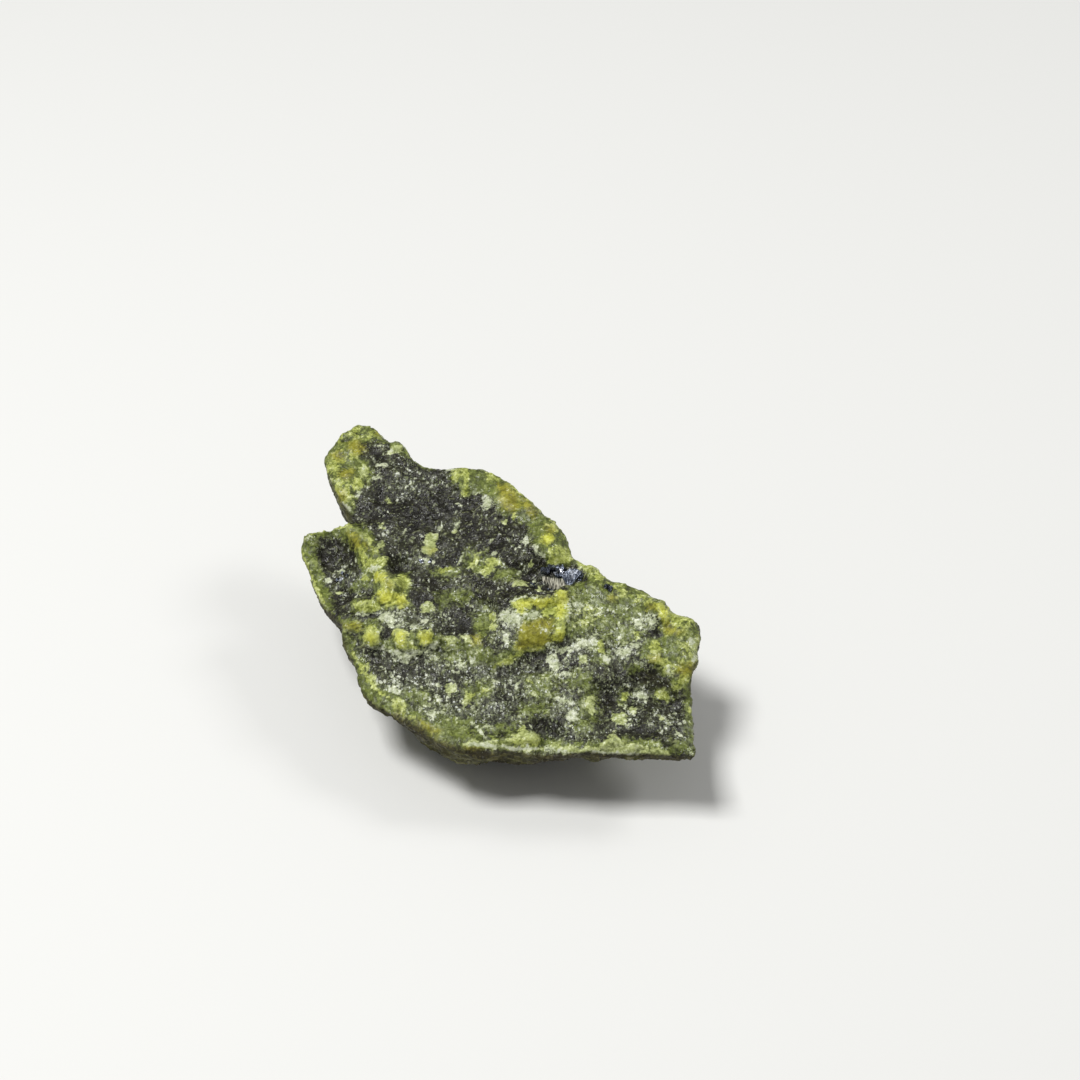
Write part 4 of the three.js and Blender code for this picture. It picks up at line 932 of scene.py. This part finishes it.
def serpentine_finish():
    f = Finish("serpentine")
    olive_at = f.painted("olive")
    lime_at = f.painted("lime")
    milky_at = f.painted("milky")
    yellow_at = f.painted("yellow")
    amber_at = f.painted("amber")
    pale_at = f.painted("pale")
    dark_at = f.painted("dark")
    frost_at = f.painted("frost")
    crest_light_and_shade_at = f.painted("crest")
    rim_light_at = f.painted("rim")
    side_at = f.painted("side")

    broad = f.cloud(0.55, roughness=0.55, shift=7.7)
    ragged = f.cloud(1.7, detail=4.0, roughness=0.62)
    fine = f.cloud(5.0, roughness=0.65, shift=3.1)
    streak = f.cloud(2.4, roughness=0.6, stretch=(2.4, 0.8, 1.4), turn=STREAK_TURN)
    grain = f.grains(GRAINS_PER_MM, bent=1.2)
    crumb = f.grains(CRUMBS_PER_MM, bent=1.4, shift=5.3)
    speck = f.grains(SPECKS_PER_MM, bent=1.6, shift=9.2)
    dust = f.grains(DUST_PER_MM, bent=1.4, shift=1.7)
    splinter = f.grains(SPLINTERS_PER_MM, bent=1.0, shift=2.9, stretch=(2.4, 0.9, 1.5), turn=STREAK_TURN)

    def between(share, bare, grown):
        """A strength that is one value on bare stone and another under full growth."""
        return f.step(share, 0.0, 1.0, bare, grown)

    # The ground stone: a grey-green haze, nearly black in the hollows.
    haze = f.varied(0.405, (broad, 0.50), (ragged, 0.55), (fine, 0.45), (crumb.value, 0.14))
    haze = f.raised(haze, (frost_at, 0.06), (dark_at, -0.14))
    colour = f.ramp(haze, GROUND_TONES)

    # The olive growth. The glow says how light it and the other waxy growths are from place to place.
    glow = f.varied(0.50, (ragged, 0.65), (fine, 0.70), (broad, 0.30), (grain.value, 0.16))
    olive_share = f.step(f.varied(olive_at, (glow, 1.2)), 0.10, 0.80)
    colour = f.blend(olive_share, colour, f.ramp(f.add(glow, -0.03), OLIVE_TONES), 0.92)

    # A thin brushed veil of crushed grains over the frosted parts.
    veil = f.times(frost_at, f.step(f.varied(streak, (fine, 0.5)), 0.44, 0.66))
    colour = f.blend(veil, colour, VEIL_TONE, 0.34)

    # Dark gaps between the crumbs.
    crumbled = f.varied(crumb.value, (fine, 1.0))
    gap = f.step(crumbled, 0.40, 0.14, 0.0, between(olive_share, 0.36, 0.22))
    colour = f.blend(gap, colour, f.ramp(f.add(haze, -0.08), GROUND_TONES))

    # Pale dust, single crystal grains and splinters, which crowd where the stone is frosted.
    crowd = f.varied(0.0, (ragged, 0.7), (streak, 0.7), (broad, 0.5))
    crowd = f.raised(crowd, (frost_at, 0.33), (dark_at, -0.14), (olive_share, -0.16))

    def scattered(grains, crowding, limits, reach, ragged_by=0.0):
        """The single grains that the crowd lifts past the limits, each out to its reach."""
        lifted = f.step(f.raised(grains.value, (crowd, crowding)), *limits)
        return f.times(lifted, f.step(f.varied(grains.off, (fine, ragged_by)), *reach))

    dusty = scattered(dust, 0.6, (0.78, 0.94), (0.55, 0.30))
    dust_tones = f.ramp(f.varied(speck.value, (fine, 1.0)), FLECK_TONES)
    colour = f.blend(dusty, colour, dust_tones, between(olive_share, 0.75, 0.40))
    flecked = scattered(grain, 1.0, (0.82, 0.98), (0.56, 0.36), ragged_by=0.6)
    fleck_tones = f.ramp(f.add(crumbled, -0.05), FLECK_TONES)
    fleck_tones = f.blend(olive_share, fleck_tones, f.ramp(f.add(glow, 0.08), PALE_LIME_TONES), 0.6)
    colour = f.blend(flecked, colour, fleck_tones, 0.9)
    splintered = scattered(splinter, 1.0, (0.86, 1.02), (0.50, 0.32), ragged_by=0.6)
    colour = f.blend(splintered, colour, f.ramp(f.add(grain.value, 0.10), FLECK_TONES), 0.85)

    # The brighter growths have clear edges; alone in the ground stone the lime is paler.
    lime_share = f.step(f.varied(lime_at, (glow, 1.0)), 0.32, 0.66)
    clear = f.times(f.step(olive_at, 0.1, 0.8), f.step(milky_at, 0.7, 0.2))
    mottled = f.varied(glow, (fine, 0.45), (crumb.value, 0.10))
    lime_tones = f.blend(clear, f.ramp(mottled, PALE_LIME_TONES), f.ramp(mottled, LIME_TONES))
    colour = f.blend(lime_share, colour, lime_tones, 0.92)
    amber_share = f.step(f.varied(amber_at, (glow, 0.9)), 0.10, 1.00)
    colour = f.blend(amber_share, colour, f.ramp(glow, AMBER_TONES), 0.85)
    yellow_share = f.step(f.varied(yellow_at, (glow, 0.7)), 0.12, 0.80)
    colour = f.blend(yellow_share, colour, f.ramp(glow, YELLOW_TONES), 0.92)
    pale_share = f.step(f.varied(pale_at, (glow, 1.2), (speck.value, 0.5)), 0.35, 0.85)
    colour = f.blend(pale_share, colour, f.ramp(glow, PALE_TONES), 0.95)
    chipped = f.times(flecked, lime_share)
    colour = f.blend(chipped, colour, f.ramp(crumbled, PALE_TONES), 0.45)

    # A few painted white glints.
    painted_glints = scattered(speck, 0.4, (0.94, 1.01), (0.50, 0.28))
    colour = f.blend(painted_glints, colour, PAINTED_GLINT_TONE, 0.7)

    # Painted highlights on thin crests and rims, painted shade in crevices, and on the sides a brown
    # that is partly the stone's own old skin and partly painted shade.
    covered = f.math("MAXIMUM", lime_share, olive_share)
    colour = f.blend(f.step(crest_light_and_shade_at, 0.65, 1.0), colour, PAINTED_CREST_LIGHT_TONE, 0.24)
    colour = f.blend(f.step(crest_light_and_shade_at, 0.40, 0.05), colour, PAINTED_CREVICE_SHADE_TONE, between(covered, 0.48, 0.30))
    colour = f.blend(f.step(rim_light_at, 0.3, 0.9), colour, PAINTED_RIM_LIGHT_TONE, 0.30)
    side_skin_and_shade = f.blend(f.step(glow, 0.45, 0.75), SIDE_SKIN_AND_SHADE_DARK, SIDE_SKIN_AND_SHADE_LIGHT)
    colour = f.blend(side_at, colour, side_skin_and_shade, 0.86)
    f.join(colour, f.shader.inputs["Base Color"])

    # Some grains are glossier than others, the old skin is dull, and growths are less sharply broken.
    roughness = f.raised(f.step(grain.value, 0.2, 0.95, 0.50, 0.24), (side_at, 0.35))
    f.join(roughness, f.shader.inputs["Roughness"])
    sharp = between(covered, 1.0, 0.52)
    facets = f.bump(f.times(crumb.tilt, sharp), CRUMB_TILT / CRUMBS_PER_MM)
    facets = f.bump(f.times(grain.tilt, sharp), GRAIN_TILT / GRAINS_PER_MM, under=facets)
    facets = f.bump(f.times(fine, sharp), 0.05, strength=0.8, under=facets)
    f.join(facets, f.shader.inputs["Normal"])
    f.shader.inputs["Specular IOR Level"].default_value = 0.4
    return f.material


stone.data.materials.clear()
stone.data.materials.append(serpentine_finish())
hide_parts("serpentine_rock")
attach(stone, "root")


# ---------------------------------------------------------------------------------------------
# The dark crystals: black iron ore grains near the upper edge and a few elsewhere, with one broad
# steel-grey cleavage plate among them. They grew in the stone and stand a little proud of it,
# rooted in its surface.

# Groups of grains: the middle's x and y, the half spreads in x and y, how many grains, and a grain's
# half size.
ORE_GROUPS = [
    (3.90, 0.98, 0.60, 0.22, 13, 0.25),
    (4.25, 0.60, 0.30, 0.12, 7, 0.15),
    (5.74, 0.32, 0.10, 0.34, 6, 0.17),
    (3.50, -1.25, 0.25, 0.18, 6, 0.10),
    (2.45, -0.30, 0.16, 0.28, 5, 0.08),
    (7.55, -0.95, 0.30, 0.22, 7, 0.15),
    (-5.00, 1.70, 0.45, 0.22, 7, 0.10),
    (-10.90, 1.40, 0.40, 0.50, 8, 0.10),
]

# Grains vary in size, sit this share of their height deep, and lean over by up to so many radians.
# Cleavage planes cut them between these shares of the way out to their corners.
ORE_SIZES = (0.6, 1.3)
ORE_SUNK = 0.45
ORE_LEAN = 0.7
ORE_CUTS = 5
ORE_CUT_REACH = (0.62, 0.85)

# The plate: corners x and y, its height above the main face, its thickness, and how much it climbs
# for each millimetre to the right of its middle.
PLATE_CORNERS = [
    (4.48, 0.30), (4.66, 0.74), (4.98, 0.96), (5.48, 0.88), (5.86, 0.56), (5.50, 0.12), (5.16, -0.34),
    (4.84, -0.46),
]
PLATE_HEIGHT = 0.02
PLATE_THICKNESS = 0.60
PLATE_CLIMB = 0.10
PLATE_MIDDLE_X = 5.2

# The white of the glints painted on the ore.
PAINTED_ORE_GLINT_TONE = tone(226, 230, 238)


def stone_top(x, y):
    """The point on top of the stone above x, y in millimetres."""
    return stone_tree.ray_cast(Vector((x, y, 40.0)) * MM, Vector((0.0, 0.0, -1.0)))[0]


def cleaved_crystal(half_sizes, seed):
    """A block with its corners and edges struck off by flat cleavage planes."""
    crystal = bmesh.new()
    block = bmesh.ops.create_cube(crystal, size=2.0)["verts"]
    bmesh.ops.scale(crystal, verts=block, vec=half_sizes)
    dice = np.random.default_rng(seed)
    for _ in range(ORE_CUTS):
        away = Vector(dice.uniform(-1.0, 1.0, 3)).normalized()
        reach = sum(abs(away[k]) * half_sizes[k] for k in range(3))
        whole = list(crystal.verts) + list(crystal.edges) + list(crystal.faces)
        cut = bmesh.ops.bisect_plane(
            crystal, geom=whole, dist=1e-7, plane_co=away * reach * dice.uniform(*ORE_CUT_REACH),
            plane_no=away, clear_outer=True)
        rim = [part for part in cut["geom_cut"] if isinstance(part, bmesh.types.BMEdge)]
        bmesh.ops.contextual_create(crystal, geom=rim)
    return crystal


def add_shape(whole, part, matrix):
    """Puts one part's mesh into the whole, moved by the matrix."""
    bmesh.ops.transform(part, verts=part.verts, matrix=matrix)
    loose = bpy.data.meshes.new("loose")
    part.to_mesh(loose)
    part.free()
    whole.from_mesh(loose)
    bpy.data.meshes.remove(loose)


def finished_piece(shape, name, material):
    """Makes the shape a piece of the object, riding with the stone."""
    bmesh.ops.recalc_face_normals(shape, faces=shape.faces)
    mesh = bpy.data.meshes.new(name)
    shape.to_mesh(mesh)
    shape.free()
    mesh.materials.append(material)
    piece = bpy.data.objects.new(name, mesh)
    bpy.context.scene.collection.objects.link(piece)
    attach(piece, "root")
    return piece


def ore_finish(name, dark, light, painted_glint_share):
    """Metallic ore, streaked and mottled, with painted white glints on some grains."""
    f = Finish(name)
    grain = f.grains(4.0, bent=0.5)
    fine = f.cloud(7.0, roughness=0.7)
    lines = f.cloud(3.4, roughness=0.7, stretch=(3.6, 0.7, 1.0), turn=-0.7)
    colour = f.blend(f.step(lines, 0.38, 0.66), dark, light)
    colour = f.blend(f.step(fine, 0.60, 0.40), colour, dark, 0.55)
    colour = f.blend(f.step(grain.value, 0.80, 0.86), colour, PAINTED_ORE_GLINT_TONE, painted_glint_share)
    f.join(colour, f.shader.inputs["Base Color"])
    f.shader.inputs["Metallic"].default_value = 0.85
    f.join(f.step(fine, 0.3, 0.7, 0.18, 0.40), f.shader.inputs["Roughness"])
    facets = f.bump(grain.tilt, 0.08, strength=0.6)
    f.join(f.bump(lines, 0.05, strength=0.6, under=facets), f.shader.inputs["Normal"])
    return f.material


stone_shape = bmesh.new()
stone_shape.from_mesh(stone.data)
stone_tree = BVHTree.FromBMesh(stone_shape)
stone_shape.free()

ore = bmesh.new()
dice = np.random.default_rng(21)
for middle_x, middle_y, spread_x, spread_y, count, half_size in ORE_GROUPS:
    for _ in range(count):
        x = middle_x + dice.uniform(-spread_x, spread_x)
        y = middle_y + dice.uniform(-spread_y, spread_y)
        half_sizes = half_size * dice.uniform(*ORE_SIZES, 3) * MM
        crystal = cleaved_crystal(half_sizes, seed=int(dice.integers(1000)))
        lift = Vector((0.0, 0.0, half_size * MM * (1.0 - 2.0 * ORE_SUNK)))
        turn = Matrix.Rotation(dice.uniform(0.0, math.pi), 4, "Z")
        lean = Matrix.Rotation(dice.uniform(-ORE_LEAN, ORE_LEAN), 4, "X")
        add_shape(ore, crystal, Matrix.Translation(stone_top(x, y) + lift) @ turn @ lean)
iron_ore = ore_finish("iron_ore", tone(26, 28, 34), tone(120, 128, 142), 0.8)
finished_piece(ore, "iron_ore_crystals", iron_ore)

plate = bmesh.new()
corners = []
for x, y in PLATE_CORNERS:
    height = face_height(x, y) + PLATE_HEIGHT + PLATE_CLIMB * (x - PLATE_MIDDLE_X)
    corners += bmesh.ops.create_vert(plate, co=Vector((x, y, height)) * MM)["vert"]
face = bmesh.ops.contextual_create(plate, geom=corners)["faces"]
foot = bmesh.ops.extrude_face_region(plate, geom=face, use_keep_orig=True)["geom"]
foot_corners = [part for part in foot if isinstance(part, bmesh.types.BMVert)]
bmesh.ops.translate(plate, verts=foot_corners, vec=(0.0, 0.0, -PLATE_THICKNESS * MM))
steel_grey = ore_finish("steel_grey", tone(72, 79, 92), tone(172, 180, 194), 0.35)
finished_piece(plate, "steel_grey_plate", steel_grey)


# ---------------------------------------------------------------------------------------------
# The fibre columns: a row of thin cream-coloured fibres of serpentine just below the dark crystals.
# They are grown side by side in a crack of the stone, tops under the crystals, feet in the stone.

# The tops of the first and last fibre, x and y, and how far a top may be off that line.
FIBRE_FIRST = (3.12, 0.50)
FIBRE_LAST = (4.98, 0.12)
FIBRE_TOP_OFF = 0.08
FIBRE_COUNT = 27

# The lengths at the two ends of the row and how much they vary, a fibre's half width, how wide its
# foot and its top are as shares of that, and how much of its edges is worn off.
FIBRE_LENGTHS = (0.55, 1.55)
FIBRE_LENGTH_SHARES = (0.7, 1.15)
FIBRE_HALF_WIDTH = 0.044
FIBRE_FOOT_SHARE = 0.8
FIBRE_TOP_SHARES = (0.9, 1.2)
FIBRE_EDGE = 0.012

# How the fibres lie: their slope and turn in degrees, and how far they are lifted off the stone.
FIBRE_SLOPE = 15.0
FIBRE_TURNS = (-14.0, 10.0)
FIBRE_LIFTS = (-0.02, 0.05)


def along_row(first, last, share):
    return first + share * (last - first)


def fibre_finish():
    """Silky pale stone, streaked along the fibres."""
    f = Finish("fibre")
    streak = f.cloud(5.0, stretch=(2.4, 0.35, 1.0))
    colour = f.blend(f.step(streak, 0.34, 0.66), tone(88, 84, 68), tone(208, 205, 186))
    f.join(colour, f.shader.inputs["Base Color"])
    f.shader.inputs["Roughness"].default_value = 0.42
    f.join(f.bump(streak, 0.05, strength=0.8), f.shader.inputs["Normal"])
    return f.material


fibres = bmesh.new()
dice = np.random.default_rng(5)
for number in range(FIBRE_COUNT):
    share = number / (FIBRE_COUNT - 1)
    x = along_row(FIBRE_FIRST[0], FIBRE_LAST[0], share)
    top = along_row(FIBRE_FIRST[1], FIBRE_LAST[1], share) + dice.uniform(-FIBRE_TOP_OFF, FIBRE_TOP_OFF)
    length = along_row(*FIBRE_LENGTHS, share) * dice.uniform(*FIBRE_LENGTH_SHARES)
    fibre = bmesh.new()
    bmesh.ops.create_cone(
        fibre, cap_ends=True, segments=6, radius1=FIBRE_HALF_WIDTH * MM * FIBRE_FOOT_SHARE,
        radius2=FIBRE_HALF_WIDTH * MM * dice.uniform(*FIBRE_TOP_SHARES), depth=length * MM)
    bmesh.ops.bevel(
        fibre, geom=list(fibre.edges), offset=FIBRE_EDGE * MM, offset_type="OFFSET", affect="EDGES",
        segments=1, profile=0.5, material=-1)
    # The cone's wide end, its top, points up the slope of the stone.
    lay = Matrix.Rotation(math.radians(dice.uniform(*FIBRE_TURNS)), 4, "Z")
    lay = lay @ Matrix.Rotation(math.radians(-90.0 + FIBRE_SLOPE), 4, "X")
    lift = Vector((0.0, 0.0, dice.uniform(*FIBRE_LIFTS) * MM))
    seat = Matrix.Translation(stone_top(x, top - 0.5 * length) + lift)
    add_shape(fibres, fibre, seat @ lay)
finished_piece(fibres, "fibre_columns", fibre_finish())


# ---------------------------------------------------------------------------------------------
# The table: a plain pale sheet of card that the stone lies on. It is wide enough to fill the view,
# lies a hair below the stone, and is not part of the object.

# Half the sheet's width, and how far it lies below the stone, in metres.
TABLE_HALF = 0.6
TABLE_DROP = 0.00002

sheet = bmesh.new()
bmesh.ops.create_grid(sheet, x_segments=1, y_segments=1, size=TABLE_HALF)
bmesh.ops.translate(sheet, verts=sheet.verts, vec=(0.0, 0.0, -TABLE_DROP))
table_mesh = bpy.data.meshes.new("table")
sheet.to_mesh(table_mesh)
sheet.free()
table = bpy.data.objects.new("table", table_mesh)
bpy.context.scene.collection.objects.link(table)
card = Finish("pale_card")
card.shader.inputs["Base Color"].default_value = tone(224, 224, 221)
card.shader.inputs["Roughness"].default_value = 0.7
table_mesh.materials.append(card.material)


# ---------------------------------------------------------------------------------------------
# The light: a white tent with one large soft lamp above on the left, and a weaker one on the right.
# They are plain studio lamps, aimed at the stone.

TENT_LIGHT = 0.26


def soft_lamp(name, place, size, power):
    """A square lamp aimed at the stone. Its place and size are in metres."""
    lamp = bpy.data.lights.new(name, "AREA")
    lamp.shape = "SQUARE"
    lamp.size = size
    lamp.energy = power
    holder = bpy.data.objects.new(name, lamp)
    aim = -Vector(place)
    holder.matrix_world = Matrix.Translation(place) @ aim.to_track_quat("-Z", "Y").to_matrix().to_4x4()
    bpy.context.scene.collection.objects.link(holder)


soft_lamp("lamp_above", (-0.14, -0.02, 0.36), size=0.12, power=1.35)
soft_lamp("lamp_side", (0.24, 0.10, 0.26), size=0.10, power=0.30)

tent = bpy.data.worlds.new("white_tent")
tent.use_nodes = True
tent.node_tree.nodes["Background"].inputs["Color"].default_value = (1.0, 1.0, 1.0, 1.0)
tent.node_tree.nodes["Background"].inputs["Strength"].default_value = TENT_LIGHT
bpy.context.scene.world = tent
bpy.context.scene.view_settings.view_transform = "Standard"


# ---------------------------------------------------------------------------------------------
# The camera looks down on the stone from the front, about 43 degrees below the level. It stands
# some 175 mm away and has a long lens, so the stone is seen with little perspective.

# Where the camera stands, in metres, its lens, and how far down it looks, in degrees.
EYE = (0.00293, -0.12300, 0.12520)
LENS_MM = 81.93
SENSOR_MM = 36.0
LOOK_DOWN = 42.6

view = bpy.data.cameras.new("camera")
view.lens = LENS_MM
view.sensor_width = SENSOR_MM
view.clip_start = 0.01
camera = bpy.data.objects.new("camera", view)
camera.location = EYE
camera.rotation_euler = (math.radians(90.0 - LOOK_DOWN), 0.0, 0.0)
bpy.context.scene.collection.objects.link(camera)
bpy.context.scene.camera = camera
